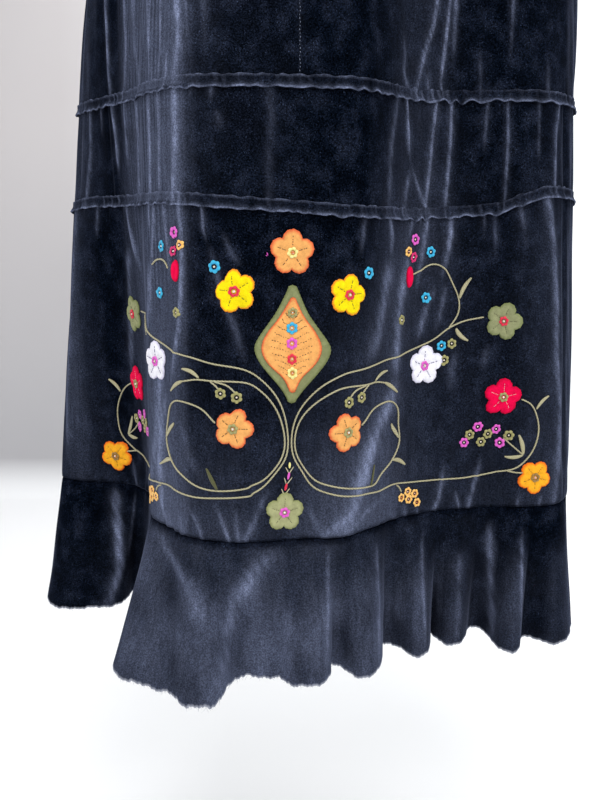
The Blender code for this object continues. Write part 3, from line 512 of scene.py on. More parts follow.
# Creases: half width, height (a trough is below 0), how much painted sheen and brushed nap lighten it, then the places
# that it runs through, as millimetres round from the front centre and height
creases = {
    "upper": (
        (2.8, 1.3, 0.85, ((-276, -210), (-272, -340), (-264, -377), (-256, -427), (-252, -455))),
        (7.6, -1.6, 0, ((-252, -213), (-250, -343), (-246, -396), (-250, -427), (-254, -455))),
        (3.5, 0.9, 0.5, ((-232, -217), (-228, -347), (-220, -390), (-223, -425), (-226, -455))),
        (2.3, -0.7, 0, ((-215, -356), (-207, -401), (-210, -426), (-213, -455))),
        (4.4, 0.8, 0.4, ((-206, -222), (-202, -352), (-195, -394), (-182, -426), (-170, -455))),
        (3.4, -0.8, 0, ((-191, -225), (-181, -355), (-163, -403), (-160, -427), (-156, -455))),
        (2.7, 1.0, 0.5, ((-157, -230), (-154, -360), (-149, -401), (-148, -428), (-147, -455))),
        (1.8, -0.8, 0, ((-141, -378), (-138, -426), (-136, -455))),
        (2.1, 0.9, 0.5, ((-135, -234), (-133, -364), (-129, -403), (-134, -428), (-139, -455))),
        (2.0, -0.8, 0, ((-125, -372), (-121, -404), (-121, -428), (-121, -455))),
        (2.1, 1.0, 0.6, ((-118, -397), (-119, -430), (-120, -455))),
        (4.1, 1.0, 0.75, ((-109, -238), (-107, -368), (-103, -391), (-105, -410), (-110, -430), (-116, -455))),
        (1.8, 0.5, 0.4, ((-98, -240), (-97, -370), (-95, -388), (-97, -415))),
        (5.1, 0.3, 0.22, ((-82, -243), (-81, -373), (-79, -400), (-81, -416))),
        (3.5, 0.5, 0.35, ((124, -377), (128, -395), (126, -414), (138, -431), (152, -455))),
        (1.4, 1.2, 0.9, ((168, -220), (166, -350), (162, -373), (153, -397), (146, -424), (138, -455))),
        (1.1, 0.5, 0.35, ((157, -406), (158, -421), (160, -455))),
        (1.2, 1.3, 0.95, ((181, -219), (179, -349), (175, -384), (171, -418), (173, -430), (177, -455))),
        (2.5, 0.8, 0.5, ((186, -223), (185, -353), (183, -395), (182, -413))),
        (2.2, 0.3, 0.18, ((208, -386), (209, -424), (210, -455))),
        (1.6, 0.8, 0.5, ((238, -220), (238, -350), (237, -373), (235, -410))),
        (3.1, 0.4, 0.2, ((274, -395), (275, -421), (276, -455))),
        (6.0, 1.6, 0.33, ((352, -120), (348, -300), (356, -445))),
        (4.0, -1.4, 0.0, ((384, -180), (392, -330), (388, -445))),
        (7.5, 1.8, 0.33, ((430, -110), (424, -300), (438, -445))),
        (4.5, -1.6, 0.0, ((476, -240), (470, -445))),
        (5.5, 1.5, 0.26, ((512, -130), (520, -445))),
        (4.0, 1.2, 0.26, ((560, -220), (548, -445))),
        (6.5, -1.8, 0.0, ((588, -150), (600, -445))),
        (5.0, 1.6, 0.31, ((640, -100), (632, -445))),
        (1.1, -0.7, 0.22, ((-362, -20), (-362, -445))),
        (5.5, -1.6, 0.0, ((-330, -150), (-338, -445))),
        (6.0, 1.7, 0.33, ((-392, -120), (-400, -445))),
        (4.0, -1.3, 0.0, ((-430, -220), (-424, -445))),
        (7.0, 1.8, 0.31, ((-470, -100), (-462, -445))),
        (4.5, -1.4, 0.0, ((-520, -170), (-530, -445))),
        (5.0, 1.4, 0.26, ((-566, -240), (-560, -445))),
        (6.0, 1.6, 0.31, ((-626, -120), (-634, -445))),
        (4.5, -1.3, 0.0, ((-676, -200), (-668, -445))),
        (1.1, -0.7, 0.1, ((0, -20), (0, -445))),
    ),
    "middle": (
        (3.2, 0.9, 0.4, ((-304, -412), (-305, -437), (-306, -473), (-315, -510), (-325, -552))),
        (2.6, 0.6, 0.3, ((-278, -412), (-280, -437), (-282, -464))),
        (2.7, 1.5, 0.9, ((-255, -412), (-253, -436), (-251, -466), (-254, -504))),
        (4.8, -1.6, 0, ((-266, -412), (-267, -440), (-268, -474), (-270, -508), (-273, -552))),
        (3.4, 1.2, 0.7, ((-225, -412), (-226, -436), (-227, -468), (-231, -497))),
        (3.4, -0.8, 0, ((-208, -412), (-209, -438), (-211, -478), (-217, -500))),
        (5.0, 0.9, 0.5, ((-192, -412), (-194, -437), (-196, -470), (-204, -515), (-211, -552))),
        (2.8, -0.7, 0, ((-164, -412), (-164, -439), (-164, -481), (-165, -515), (-166, -552))),
        (2.3, 1.1, 0.7, ((-155, -412), (-154, -438), (-152, -474), (-153, -515), (-154, -552))),
        (1.7, -0.8, 0, ((-144, -412), (-142, -442), (-140, -482))),
        (2.5, 0.9, 0.5, ((-136, -412), (-134, -438), (-132, -467), (-135, -516), (-137, -552))),
        (1.8, -0.7, 0, ((-122, -412), (-121, -440), (-120, -484), (-123, -516), (-126, -552))),
        (3.9, 1.1, 0.8, ((-109, -412), (-108, -439), (-107, -468), (-109, -492), (-111, -520), (-113, -552))),
        (1.8, -0.6, 0, ((-112, -412), (-114, -438), (-116, -468))),
        (1.2, 0.7, 0.45, ((-86, -412), (-91, -436), (-93, -446))),
        (1.7, 0.6, 0.45, ((-74, -412), (-74, -437), (-74, -451))),
        (4.2, 0.3, 0.2, ((-70, -452), (-67, -472))),
        (4.6, 0.4, 0.12, ((-28, -412), (-26, -438), (-24, -462), (-27, -493), (-26, -517), (-25, -552))),
        (4.9, 0.5, 0.3, ((122, -412), (112, -439), (106, -455), (100, -474), (97, -520), (95, -552))),
        (2.1, 1.1, 0.85, ((132, -412), (132, -436), (133, -484), (136, -493))),
        (2.5, 0.8, 0.5, ((136, -491), (126, -517), (124, -528), (120, -552))),
        (1.8, 0.9, 0.6, ((136, -491), (142, -508), (153, -529), (165, -552))),
        (1.4, 1.2, 0.85, ((172, -412), (168, -433), (162, -468), (157, -503), (153, -528), (149, -552))),
        (1.4, 1.2, 0.85, ((183, -412), (182, -436), (180, -473), (174, -522), (170, -552))),
        (1.6, 0.5, 0.3, ((219, -412), (216, -436), (213, -463), (211, -484))),
        (1.1, 1.0, 0.6, ((234, -412), (234, -437), (234, -463), (233, -482), (230, -518), (227, -552))),
        (1.8, 0.4, 0.22, ((265, -412), (264, -438), (262, -496))),
        (2.1, 1.0, 0.65, ((299, -412), (293, -436), (286, -462), (283, -516), (281, -552))),
        (6.0, -1.4, 0.0, ((310, -420), (306, -545))),
        (6.0, 1.6, 0.31, ((356, -420), (350, -545))),
        (4.5, -1.3, 0.0, ((392, -420), (398, -520))),
        (7.0, 1.7, 0.31, ((440, -420), (432, -545))),
        (5.0, 1.4, 0.26, ((516, -420), (524, -545))),
        (4.5, -1.5, 0.0, ((570, -430), (562, -545))),
        (6.0, 1.6, 0.31, ((634, -420), (640, -545))),
        (5.0, -1.3, 0.0, ((-334, -420), (-340, -545))),
        (6.0, 1.5, 0.31, ((-400, -420), (-394, -545))),
        (5.0, 1.6, 0.26, ((-464, -420), (-472, -530))),
        (4.5, -1.4, 0.0, ((-530, -430), (-524, -545))),
        (6.5, 1.5, 0.31, ((-632, -420), (-626, -545))),
    ),
    "flowered": (
        (8.5, 0.6, 0.30, ((-340, -498), (-345, -526), (-355, -580), (-362, -664), (-367, -728), (-368, -804))),
        (2.6, 0.5, 0.3, ((-294, -498), (-299, -526), (-305, -562))),
        (7.1, -1.0, 0, ((-280, -498), (-285, -530), (-300, -619), (-317, -724))),
        (4.7, 1.3, 0.8, ((-245, -498), (-242, -527), (-240, -546), (-229, -570), (-211, -596))),
        (8.3, 0.6, 0.42, ((-248, -559), (-255, -607), (-267, -678), (-272, -720))),
        (2.8, 1.0, 0.6, ((-160, -568), (-160, -610), (-164, -648))),
        (2.2, 0.9, 0.6, ((-160, -498), (-158, -528), (-156, -559))),
        (2.8, 0.9, 0.55, ((-144, -498), (-147, -528), (-150, -558), (-155, -582), (-158, -628))),
        (2.1, -0.8, 0, ((-138, -498), (-138, -530), (-138, -575), (-145, -636))),
        (2.7, 0.8, 0.5, ((-133, -498), (-128, -530), (-122, -565), (-120, -594))),
        (1.6, -0.8, 0, ((-112, -498), (-111, -533), (-110, -590), (-118, -634))),
        (2.5, 1.5, 0.85, ((-110, -498), (-105, -528), (-102, -546), (-102, -574), (-104, -607), (-107, -632),
                          (-115, -659), (-125, -696))),
        (6.4, 0.9, 0.7, ((-128, -685), (-142, -716), (-147, -758), (-145, -796), (-135, -811), (-120, -836))),
        (6.7, 0.4, 0.5, ((-138, -635), (-143, -671), (-149, -718), (-164, -768), (-176, -800))),
        (1.1, 0.9, 0.65, ((-84, -498), (-83, -528), (-82, -548), (-78, -562))),
        (3.7, 0.6, 0.3, ((-79, -556), (-72, -575), (-66, -606), (-58, -620), (-53, -638), (-44, -666))),
        (3.4, 0.4, 0.2, ((-66, -547), (-59, -566), (-49, -580))),
        (5.7, 0.4, 0.2, ((-110, -707), (-97, -745), (-81, -767))),
        (2.7, 0.8, 0.45, ((-288, -782), (-285, -809), (-282, -836))),
        (2.6, 0.8, 0.4, ((-113, -792), (-107, -809), (-97, -836))),
        (2.1, 1.1, 0.6, ((-101, -786), (-89, -802), (-84, -814), (-75, -836))),
        (2.1, 1.0, 0.6, ((-76, -779), (-68, -793), (-61, -812), (-52, -836))),
        (2.5, 0.8, 0.4, ((-55, -784), (-53, -811), (-51, -836))),
        (2.8, 0.8, 0.5, ((-24, -763), (-33, -779), (-42, -802), (-48, -814), (-59, -836))),
        (3.4, 0.6, 0.3, ((5, -780), (12, -798), (22, -815), (34, -836))),
        (3.0, 0.5, 0.3, ((65, -498), (60, -539), (58, -557), (55, -576))),
        (3.4, 1.1, 0.75, ((89, -498), (98, -536), (103, -558), (100, -577))),
        (10.0, 1.0, 0.55, ((100, -568), (96, -589), (88, -613), (78, -640), (63, -671))),
        (2.8, 0.8, 0.6, ((150, -498), (136, -539), (131, -554), (122, -566))),
        (1.1, 0.6, 0.4, ((155, -498), (146, -539), (143, -553))),
        (2.5, 1.0, 0.7, ((166, -498), (155, -538), (151, -553), (145, -582), (138, -608))),
        (2.5, 1.2, 0.8, ((181, -498), (179, -535), (178, -554), (173, -576), (166, -599))),
        (3.0, 0.9, 0.55, ((166, -596), (153, -614), (143, -642), (138, -654))),
        (2.5, 0.7, 0.45, ((173, -596), (166, -624), (160, -643))),
        (6.5, 1.2, 0.75, ((131, -566), (117, -607), (110, -647), (107, -694))),
        (11.5, 1.4, 0.95, ((110, -679), (94, -709), (75, -730), (64, -755), (54, -781), (38, -808), (21, -836))),
        (6.6, 0.6, 0.45, ((115, -782), (78, -793), (44, -810), (28, -836))),
        (4.8, 0.5, 0.42, ((64, -785), (40, -797), (22, -812), (8, -836))),
        (1.5, 0.4, 0.25, ((212, -498), (211, -536), (210, -562))),
        (2.1, 0.4, 0.25, ((219, -498), (220, -535), (221, -580))),
        (2.8, 0.4, 0.28, ((240, -498), (245, -533), (250, -569))),
        (5.1, 1.2, 0.55, ((268, -498), (273, -526), (279, -558), (283, -614), (282, -672), (286, -712), (283, -772),
                          (275, -815), (271, -836))),
        (3.8, 0.4, 0.22, ((213, -655), (204, -682))),
        (4.4, 0.5, 0.25, ((183, -656), (176, -679), (174, -702))),
        (2.1, 1.0, 0.6, ((168, -766), (160, -804), (154, -815), (143, -836))),
        (1.4, 0.8, 0.5, ((177, -792), (180, -814), (183, -836))),
        (2.1, 1.1, 0.65, ((205, -760), (196, -793), (189, -815), (182, -836))),
        (1.5, 0.8, 0.5, ((241, -798), (237, -815), (232, -836))),
        (1.9, 0.8, 0.5, ((263, -799), (258, -815), (251, -836))),
        (2.5, 0.8, 0.5, ((281, -802), (273, -815), (260, -836))),
        (2.0, 0.7, 0.45, ((120, -800), (122, -815), (125, -836))),
        (2.0, 0.7, 0.45, ((103, -803), (106, -815), (111, -836))),
        (1.6, 0.6, 0.4, ((136, -802), (135, -815), (133, -836))),
        (6.0, -1.8, 0.0, ((308, -500), (300, -640), (296, -830))),
        (7.0, 1.8, 0.35, ((352, -500), (346, -640), (356, -830))),
        (5.0, -1.6, 0.0, ((392, -500), (398, -700))),
        (8.0, 2.0, 0.35, ((440, -500), (430, -660), (442, -830))),
        (4.0, 1.4, 0.31, ((478, -505), (472, -620))),
        (6.0, 1.8, 0.31, ((524, -500), (530, -700), (520, -830))),
        (5.0, -1.6, 0.0, ((568, -520), (560, -760))),
        (7.5, 1.65, 0.35, ((636, -500), (644, -680), (634, -830))),
        (5.0, 1.3, 0.26, ((690, -505), (684, -640))),
        (5.5, -1.6, 0.0, ((-372, -500), (-368, -700), (-376, -830))),
        (7.0, 1.8, 0.35, ((-404, -500), (-412, -680), (-402, -830))),
        (4.5, 1.4, 0.31, ((-446, -505), (-452, -640))),
        (7.0, 1.65, 0.35, ((-486, -500), (-478, -700), (-490, -830))),
        (5.0, -1.6, 0.0, ((-534, -520), (-540, -780))),
        (6.5, 1.7, 0.31, ((-586, -500), (-594, -700), (-582, -830))),
        (8.0, 1.8, 0.31, ((-650, -510), (-640, -660), (-652, -830))),
    ),
}
# Gathers at the seams: how many go round, how far they reach, how deep they are, how far they lean for each
# millimetre up
gathers = {
    "belowBand": (150, 46.0, 1.5, 0.0), "aboveUpper": (118, 9.0, 0.35, 0.0), "belowUpper": (122, 15.0, 0.75, 0.0),
    "aboveLower": (112, 9.0, 0.35, 0.1), "belowLower": (108, 24.0, 0.85, 0.0), "aboveFlounce": (92, 18.0, 0.95, 0.42),
    "belowFlounce": (96, 16.0, 0.55, 0.0),
}
# how far the seam over the flounce pulls both edges in, how far up that reaches, and how much painted shade it puts
# there by taking away painted sheen
seamPull = {"depth": 0.7, "reach": 1.6, "paintedShade": 0.85}
# how strong the gathers are round the skirt: weak on the flat front
gatherStrength = np.array(((-710, 0.8), (-400, 0.8), (-290, 0.9), (-260, 1.0), (-105, 1.0), (-85, 0.4), (0, 0.22),
                           (70, 0.3), (100, 0.95), (205, 1.0), (240, 0.55), (330, 0.6), (420, 0.8), (710, 0.8)), float)


# How much painted sheen and brushed nap lighten the velvet, round from the front centre, at the five heights
napAndSheenHeights = (-250, -480, -560, -700, -800)
napAndSheenRows = np.array((
    (-710, 0.09, 0.09, 0.09, 0.11, 0.13), (-420, 0.07, 0.07, 0.07, 0.09, 0.11), (-372, 0.01, 0.04, 0.08, 0.11, 0.09),
    (-350, 0.05, 0.12, 0.13, 0.18, 0.13), (-330, 0.06, 0.13, 0.04, 0.05, 0.05), (-300, 0.00, 0.04, 0.00, 0.00, 0.01),
    (-262, 0.00, 0.00, 0.00, 0.01, 0.02), (-240, 0.01, 0.04, 0.12, 0.11, 0.07), (-226, 0.26, 0.17, 0.20, 0.19, 0.10),
    (-190, 0.28, 0.26, 0.24, 0.25, 0.18), (-150, 0.31, 0.32, 0.29, 0.35, 0.45), (-118, 0.35, 0.33, 0.30, 0.30, 0.47),
    (-103, 0.34, 0.34, 0.27, 0.14, 0.31), (-96, 0.12, 0.12, 0.06, 0.03, 0.18), (-85, 0.04, 0.03, 0.00, 0.02, 0.14),
    (-55, 0.01, 0.01, 0.00, 0.01, 0.14), (-15, 0.00, 0.01, 0.00, 0.02, 0.07), (20, 0.00, 0.00, 0.00, 0.04, 0.25),
    (60, 0.00, 0.00, 0.00, 0.11, 0.34), (95, 0.00, 0.02, 0.09, 0.17, 0.32), (125, 0.03, 0.07, 0.15, 0.09, 0.10),
    (160, 0.05, 0.07, 0.10, 0.04, 0.07), (190, 0.00, 0.01, 0.02, 0.04, 0.06), (230, 0.00, 0.00, 0.01, 0.02, 0.06),
    (268, 0.00, 0.01, 0.06, 0.07, 0.12), (290, 0.00, 0.03, 0.06, 0.07, 0.10), (320, 0.00, 0.01, 0.02, 0.04, 0.06),
    (420, 0.09, 0.09, 0.09, 0.11, 0.13), (710, 0.09, 0.09, 0.09, 0.11, 0.13),
), float)


def wrapped(value):
    return np.mod(value + commonSweep / 2, commonSweep) - commonSweep / 2


def creaseField(rows, around, z):
    # each crease is a bell across its path, fading towards both ends of it
    lift, shine = np.zeros(np.shape(around)), np.zeros(np.shape(around))
    for k, (width, height, napAndPaintedSheen, path) in enumerate(rows):
        path = np.array(path, float)
        centre = np.interp(-z, -path[:, 1], path[:, 0])
        length = path[0, 1] - path[-1, 1]
        fade = min(0.35 * length, 60.0)
        strength = smooth((path[0, 1] - z) / min(fade, 26.0)) * smooth((z - path[-1, 1]) / fade)
        away = wrapped(around - centre) / width
        bell = np.exp(-away**2) * strength
        lift += height * bell
        bell = (0.8 * np.exp(-(away / 0.7) ** 2) + 0.2 * np.exp(-(away * width / (width + 2.5)) ** 2)) * strength
        shine += napAndPaintedSheen * bell * (0.74 + 0.26 * np.sin(z / 7.0 + 2.1 * k) * np.sin(z / 17.0 + k)
                                   + 0.16 * np.sin(z / 2.9 + 5 * k + around / 1.7))
    return lift, shine


def napAndSheenAt(around, z):
    # the table's amounts round the skirt, blended down it
    columns = [np.interp(around, napAndSheenRows[:, 0], napAndSheenRows[:, k]) for k in range(1, 6)]
    down = np.interp(-np.asarray(z, float), [-h for h in napAndSheenHeights], range(5))
    return sum(column * np.clip(1 - np.abs(down - k), 0, 1) for k, column in enumerate(columns))


def ripple(turn, count, seed):
    # an uneven sine round the skirt, its phase drifting in whole turns so that it joins
    t = 2 * np.pi * turn
    phase = count * t + 1.9 * np.sin(8 * t + seed) + 1.2 * np.sin(21 * t + 2 * seed) + 0.8 * np.sin(45 * t + 3 * seed)
    swell = 0.6 + 0.4 * np.sin(13 * t + seed) * np.sin(5 * t + 1)
    return np.sin(phase) * swell


def gathered(kind, turn, away, seed):
    # ripples that die away from the seam, some reaching further than others
    count, reach, depth, lean = gathers[kind]
    around = wrapped(turn * commonSweep)
    shifted = turn - lean * away / commonSweep
    far = reach * (1.0 + 0.5 * np.sin(2 * np.pi * 37 * shifted + seed))
    strength = np.interp(around, gatherStrength[:, 0], gatherStrength[:, 1])
    return depth * strength * ripple(shifted, count, seed) * np.exp(-np.clip(away, 0, None) / far)


def softWaves(turn, z):
    # the cloth's own unevenness, a few centimetres long
    t = 2 * np.pi * turn
    return (0.55 * np.sin(17 * t + z / 61.0) * np.sin(5 * t - z / 140.0 + 1) + 0.35 * np.sin(31 * t - z / 43.0 + 2)
            + 0.22 * np.sin(53 * t + z / 27.0 + 0.5))


def relief(tier, turn, z):
    around = wrapped(turn * commonSweep)
    lift, shine = creaseField(creases[tier], around, z)
    # fine streaks of painted sheen where the cloth turns away on the left
    wall = smooth((around + 238) / 16) * smooth((-96 - around) / 8) * smooth((z + 650) / 70)
    combed = (ripple(turn + 0.0005 * np.sin(z / 47.0), 236, 1.3)
              + 0.7 * ripple(turn + 0.0007 * np.sin(z / 31.0 + 1), 351, 2.2))
    shine = shine + napAndSheenAt(around, z) * (1 + 0.34 * combed * wall)
    lift = lift + softWaves(turn, z) * smooth((-60 - z) / 60.0)
    if tier == "upper":
        lift = (lift + gathered("belowBand", turn, skirt["panelTop"] - z, 0.4)
                + gathered("aboveUpper", turn, z - skirt["seamUpper"], 1.7))
    elif tier == "middle":
        lift = (lift + gathered("belowUpper", turn, skirt["seamUpper"] - z, 2.6)
                + gathered("aboveLower", turn, z - lowerSeam(turn), 3.3))
    else:
        lift = (lift + gathered("belowLower", turn, lowerSeam(turn) - z, 4.1)
                + gathered("aboveFlounce", turn, z - skirt["seamFlounce"], 5.2))
        # painted shade along the seam over the flounce
        near = np.exp(-np.clip(z - skirt["seamFlounce"], 0, None) / seamPull["reach"])
        lift, shine = lift - seamPull["depth"] * near, shine * (1 - seamPull["paintedShade"] * near)
    return lift, np.clip(shine, 0, 1)


def gridNormals(grid, closed=False):
    across = np.roll(grid, -1, 1) - np.roll(grid, 1, 1) if closed else np.gradient(grid, axis=1)
    normal = np.cross(np.gradient(grid, axis=0), across)
    return normal / np.linalg.norm(normal, axis=-1, keepdims=True)


def clothShell(name, grid, thick, shine, raw=None, closed=False):
    # a closed shell about its middle surface, whose open grid has a spare column at each end for the normals
    normals = gridNormals(grid, closed)
    if not closed:
        grid, normals, shine = grid[:, 1:-1], normals[:, 1:-1], shine[:, 1:-1]
        raw = None if raw is None else raw[:, 1:-1]
    rows, cols = grid.shape[:2]
    points = np.concatenate([(grid + normals * thick / 2).reshape(-1, 3), (grid - normals * thick / 2).reshape(-1, 3)])
    back, last = rows * cols, (rows - 1) * cols
    front = gridFaces(rows, cols, closed)
    c = np.arange(cols if closed else cols - 1)
    d = (c + 1) % cols
    rims = [np.stack([c, d, back + d, back + c], -1),
            np.stack([last + d, last + c, back + last + c, back + last + d], -1)]
    if not closed:
        a = np.arange(rows - 1) * cols
        b = a + cols
        rims.append(np.stack([a, back + a, back + b, b], -1))
        rims.append(np.stack([a + cols - 1, b + cols - 1, back + b + cols - 1, back + a + cols - 1], -1))
    rims = np.concatenate(rims)
    faces = [np.concatenate([front, front[:, ::-1] + back, rims])]
    slots = np.concatenate([np.zeros(len(front)), np.ones(len(front)), np.zeros(len(rims))])
    raw = np.zeros((rows, cols)) if raw is None else raw
    run = np.concatenate([np.zeros((rows, 1)), np.cumsum(np.linalg.norm(np.diff(grid, axis=1), axis=-1), 1)], 1) * mm
    uv = np.stack([run, grid[..., 2] * mm], -1).reshape(-1, 2)
    return putMesh(name, points, faces, [velvet, wovenGround],
                   {"shine": np.tile(shine.ravel(), 2), "raw": np.tile(raw.ravel(), 2)},
                   slots, np.concatenate([uv, uv]), np.arange(len(slots)) < 2 * len(front))


def columnsBetween(first, last, count):
    step = 1 / count
    at = np.arange(round(first * count) - 1, round(last * count) + 2) * step
    at[1] += skirt["gap"] / 2 / skirt["gapSweep"]
    at[-2] -= skirt["gap"] / 2 / skirt["gapSweep"]
    return at


def graded(count, ends=0.35):
    # shares from 0 to 1, closer together near both ends
    t = np.linspace(0, 1, count)
    return t - ends * np.sin(2 * np.pi * t) / (2 * np.pi)


def tierShell(name, tier, first, last, top, bottom, rows, columns):
    at = columnsBetween(first, last, columns)
    share = graded(rows)[:, None]
    z = top(at)[None] * (1 - share) + bottom(at)[None] * share
    turn = np.broadcast_to(at[None], z.shape)
    lift, shine = relief(tier, turn, z)
    return clothShell(name, onSkirt(turn, z, lift), skirt["wall"], shine)


def level(z):
    return lambda at: np.full(len(at), z)


halfGap = skirt["gap"] / 2
side = skirt["sideTurn"]
upperTop, upperEnd = level(skirt["panelTop"] - 1.0), level(skirt["seamUpper"] + halfGap)
middleTop, middleEnd = level(skirt["seamUpper"] - halfGap), lambda at: lowerSeam(at) + halfGap
flowerTop, flowerEnd = lambda at: lowerSeam(at) - halfGap, level(skirt["seamFlounce"] + halfGap)
panels = (
    # piece and node, tier, first turn, last turn, top, bottom, rows, columns to a whole turn, cut width and length in
    # metres
    ("upper_front_left", "upper", -side, 0.0, upperTop, upperEnd, 56, 1600, (0.377, 0.400)),
    ("upper_front_right", "upper", 0.0, side, upperTop, upperEnd, 56, 1600, (0.377, 0.400)),
    ("upper_back", "upper", side, 1 - side, upperTop, upperEnd, 50, 960, (0.617, 0.400)),
    ("middle_front", "middle", -side, side, middleTop, middleEnd, 30, 1600, (0.765, 0.099)),
    ("middle_back", "middle", side, 1 - side, middleTop, middleEnd, 22, 960, (0.626, 0.099)),
    ("flowered_front", "flowered", -side, side, flowerTop, flowerEnd, 68, 1320, (0.800, 0.285)),
    ("flowered_back", "flowered", side, 1 - side, flowerTop, flowerEnd, 54, 960, (0.655, 0.285)),
)
for name, tier, first, last, top, bottom, rows, columns, cut in panels:
    made = settle(tierShell("velvet_" + name, tier, first, last, top, bottom, rows, columns), [name])
print("panels made")

# Waistband: a casing gathered on its elastic, with three stitched rows
band = {
    "columns": 720, "rows": 27, "gathers": 118, "depth": 0.9, "stitchRows": (-6.0, -17.8, -29.6), "pinch": 0.9,
    "pinchWidth": 1.2, "thick": 2.6, "bulge": 1.5, "catch": 0.1,
}
bandTurn = np.arange(band["columns"]) / band["columns"]
bandZ = np.linspace(0.0, -skirt["bandHeight"], band["rows"])[:, None]
bulge = band["bulge"] * np.sin(np.pi * -bandZ / skirt["bandHeight"])
pinch = sum(np.exp(-((bandZ - at) / band["pinchWidth"]) ** 2) for at in band["stitchRows"])
bandRipple = ripple(bandTurn[None] + bandZ / 9000.0, band["gathers"], 0.9)
bandOut = bulge + band["depth"] * bandRipple * (1 - 0.5 * pinch) - band["pinch"] * pinch
bandAngle = np.broadcast_to(2 * np.pi * bandTurn[None], bandOut.shape)
bandGrid = np.stack([(skirt["bandHalfWidth"] + bandOut) * np.sin(bandAngle),
                     -(skirt["bandHalfDepth"] + bandOut) * np.cos(bandAngle),
                     np.broadcast_to(bandZ, bandOut.shape)], -1)
# painted sheen along the three stitched rows
bandShine = np.broadcast_to(band["catch"] * pinch, bandOut.shape)
waistband = settle(clothShell("velvet_waistband", bandGrid, band["thick"], bandShine, closed=True),
                   ["waistband"])

# Flounce: ruled from its seam to the fluted hem, with painted shade under the seam and painted sheen, partly brushed
# nap, lower down
flounceSweep = float(sweepAt(skirt["seamFlounce"]))
hemTurn = hemRows[:, 0] / flounceSweep
hemPlan = onSkirt(hemTurn, skirt["seamFlounce"])[:, :2]
hemOut = sample(outward, hemTurn, skirt["seamFlounce"])
hemSide = np.stack([-hemOut[:, 1], hemOut[:, 0]], -1)
hemPlan = hemPlan + hemOut * hemRows[:, 1:2] + hemSide * hemRows[:, 2:3]
hemLong = np.concatenate([np.column_stack([hemRows[:, 0] + flounceSweep * lap, hemPlan]) for lap in (-1, 0, 1)])
hemCurve = closedCurve(hemLong, 8)[:-16]
flounce = {
    "rows": 40, "depth": 135.0, "ragged": 1.3, "raggedNear": 2.2, "rawWidth": 2.2,
    "groove": 0.7, "grooveReach": 1.8, "crest": 0.10, "turnIn": 2.6, "turnUp": 5.0,
    # arc and how much painted sheen and brushed nap lighten the pile high up and low down
    "napAndPaintedSheen": ((-710, 0.06, 0.16), (-392, 0.0, 0.01), (-336, 0.0, 0.01), (-290, 0.0, 0.02), (-250, 0.05, 0.12),
                (-203, 0.12, 0.26), (-165, 0.26, 0.26),
                (-140, 0.14, 0.22), (-110, 0.12, 0.27), (-85, 0.10, 0.24), (-40, 0.12, 0.36), (0, 0.10, 0.30),
                (40, 0.10, 0.28), (90, 0.06, 0.24),
                (150, 0.03, 0.14), (210, 0.02, 0.09), (245, 0.0, 0.03), (300, 0.0, 0.03), (392, 0.03, 0.10),
                (710, 0.06, 0.16)),
    # half width, height, painted sheen and nap, path of arc and millimetres under the seam
    "creases": (
        (6.5, 0.8, 0.85, ((-327, 0), (-324, -10), (-312, -92), (-322, -128), (-324, -150))),
        (3.0, 0.6, 0.34, ((-296, 0), (-300, -40), (-304, -90))),
        (5.0, -0.8, 0.0, ((-280, 0), (-278, -60), (-276, -120))),
        (12.0, 0.8, 0.36, ((-176, 4), (-162, -4), (-128, -22), (-104, -38), (-98, -56), (-96, -80))),
        (11.0, 0.9, 0.50, ((-20, 0), (-28, -10), (-44, -33), (-56, -57), (-66, -82), (-74, -118), (-78, -150))),
        (6.0, 0.4, 0.22, ((-176, 0), (-180, -60), (-186, -150))),
        (2.2, 0.6, 0.45, ((25, -6), (24, -20), (23, -57), (21, -128), (21, -150))),
        (3.0, 0.5, 0.40, ((82, -8), (82, -30), (84, -70), (82, -112), (82, -140))),
        (2.4, 0.6, 0.50, ((148, -14), (146, -26), (145, -70), (146, -116), (146, -140))),
        (3.4, 0.4, 0.26, ((190, -36), (190, -60), (192, -118), (192, -140))),
        (4.6, 0.8, 0.70, ((222, -10), (222, -30), (228, -70), (234, -122), (234, -150))),
        (2.0, 0.5, 0.48, ((252, -16), (252, -30), (255, -80), (258, -126), (258, -140))),
        (5.0, 0.4, 0.20, ((-10, -50), (-14, -90), (-12, -150))), (5.0, 0.3, 0.20, ((120, -50), (120, -120))),
        (4.0, 0.3, 0.18, ((172, -46), (176, -120))),
    ),
    # arc and how much higher than the rest the hem is cut
    "cut": ((-720, 0), (-210, 0), (-160, 2), (-120, 5), (-84, 6), (-40, 7), (10, 8), (34, 6), (60, 2), (90, 0),
            (720, 0)),
}
napAndSheenTable = np.array(flounce["napAndPaintedSheen"], float)
cutTable = np.array(flounce["cut"], float)


def nearCamera(arc):
    # the front part of the hem, left of the middle, as a share that fades at both its ends
    return smooth((arc + 250) / 40) * smooth((20 - arc) / 60)


def hemAt(turn):
    # the hem's plan at a share of a turn, with a cut edge that wanders up and down
    arc = (np.mod(turn + 0.5, 1.0) - 0.5) * flounceSweep
    plan = np.stack([np.interp(arc, hemCurve[:, 0], hemCurve[:, k]) for k in (1, 2)], -1)
    near = nearCamera(arc)
    size = flounce["ragged"] * (1 - near) + flounce["raggedNear"] * near
    t = 2 * np.pi * turn
    wander = (0.5 * np.sin(61 * t + 1) + 0.35 * np.sin(131 * t + 2) + 0.3 * np.sin(283 * t) * np.sin(23 * t)
              + 0.22 * np.sin(467 * t + 1))
    return arc, plan, skirt["hem"] + size * wander + np.interp(arc, cutTable[:, 0], cutTable[:, 1])


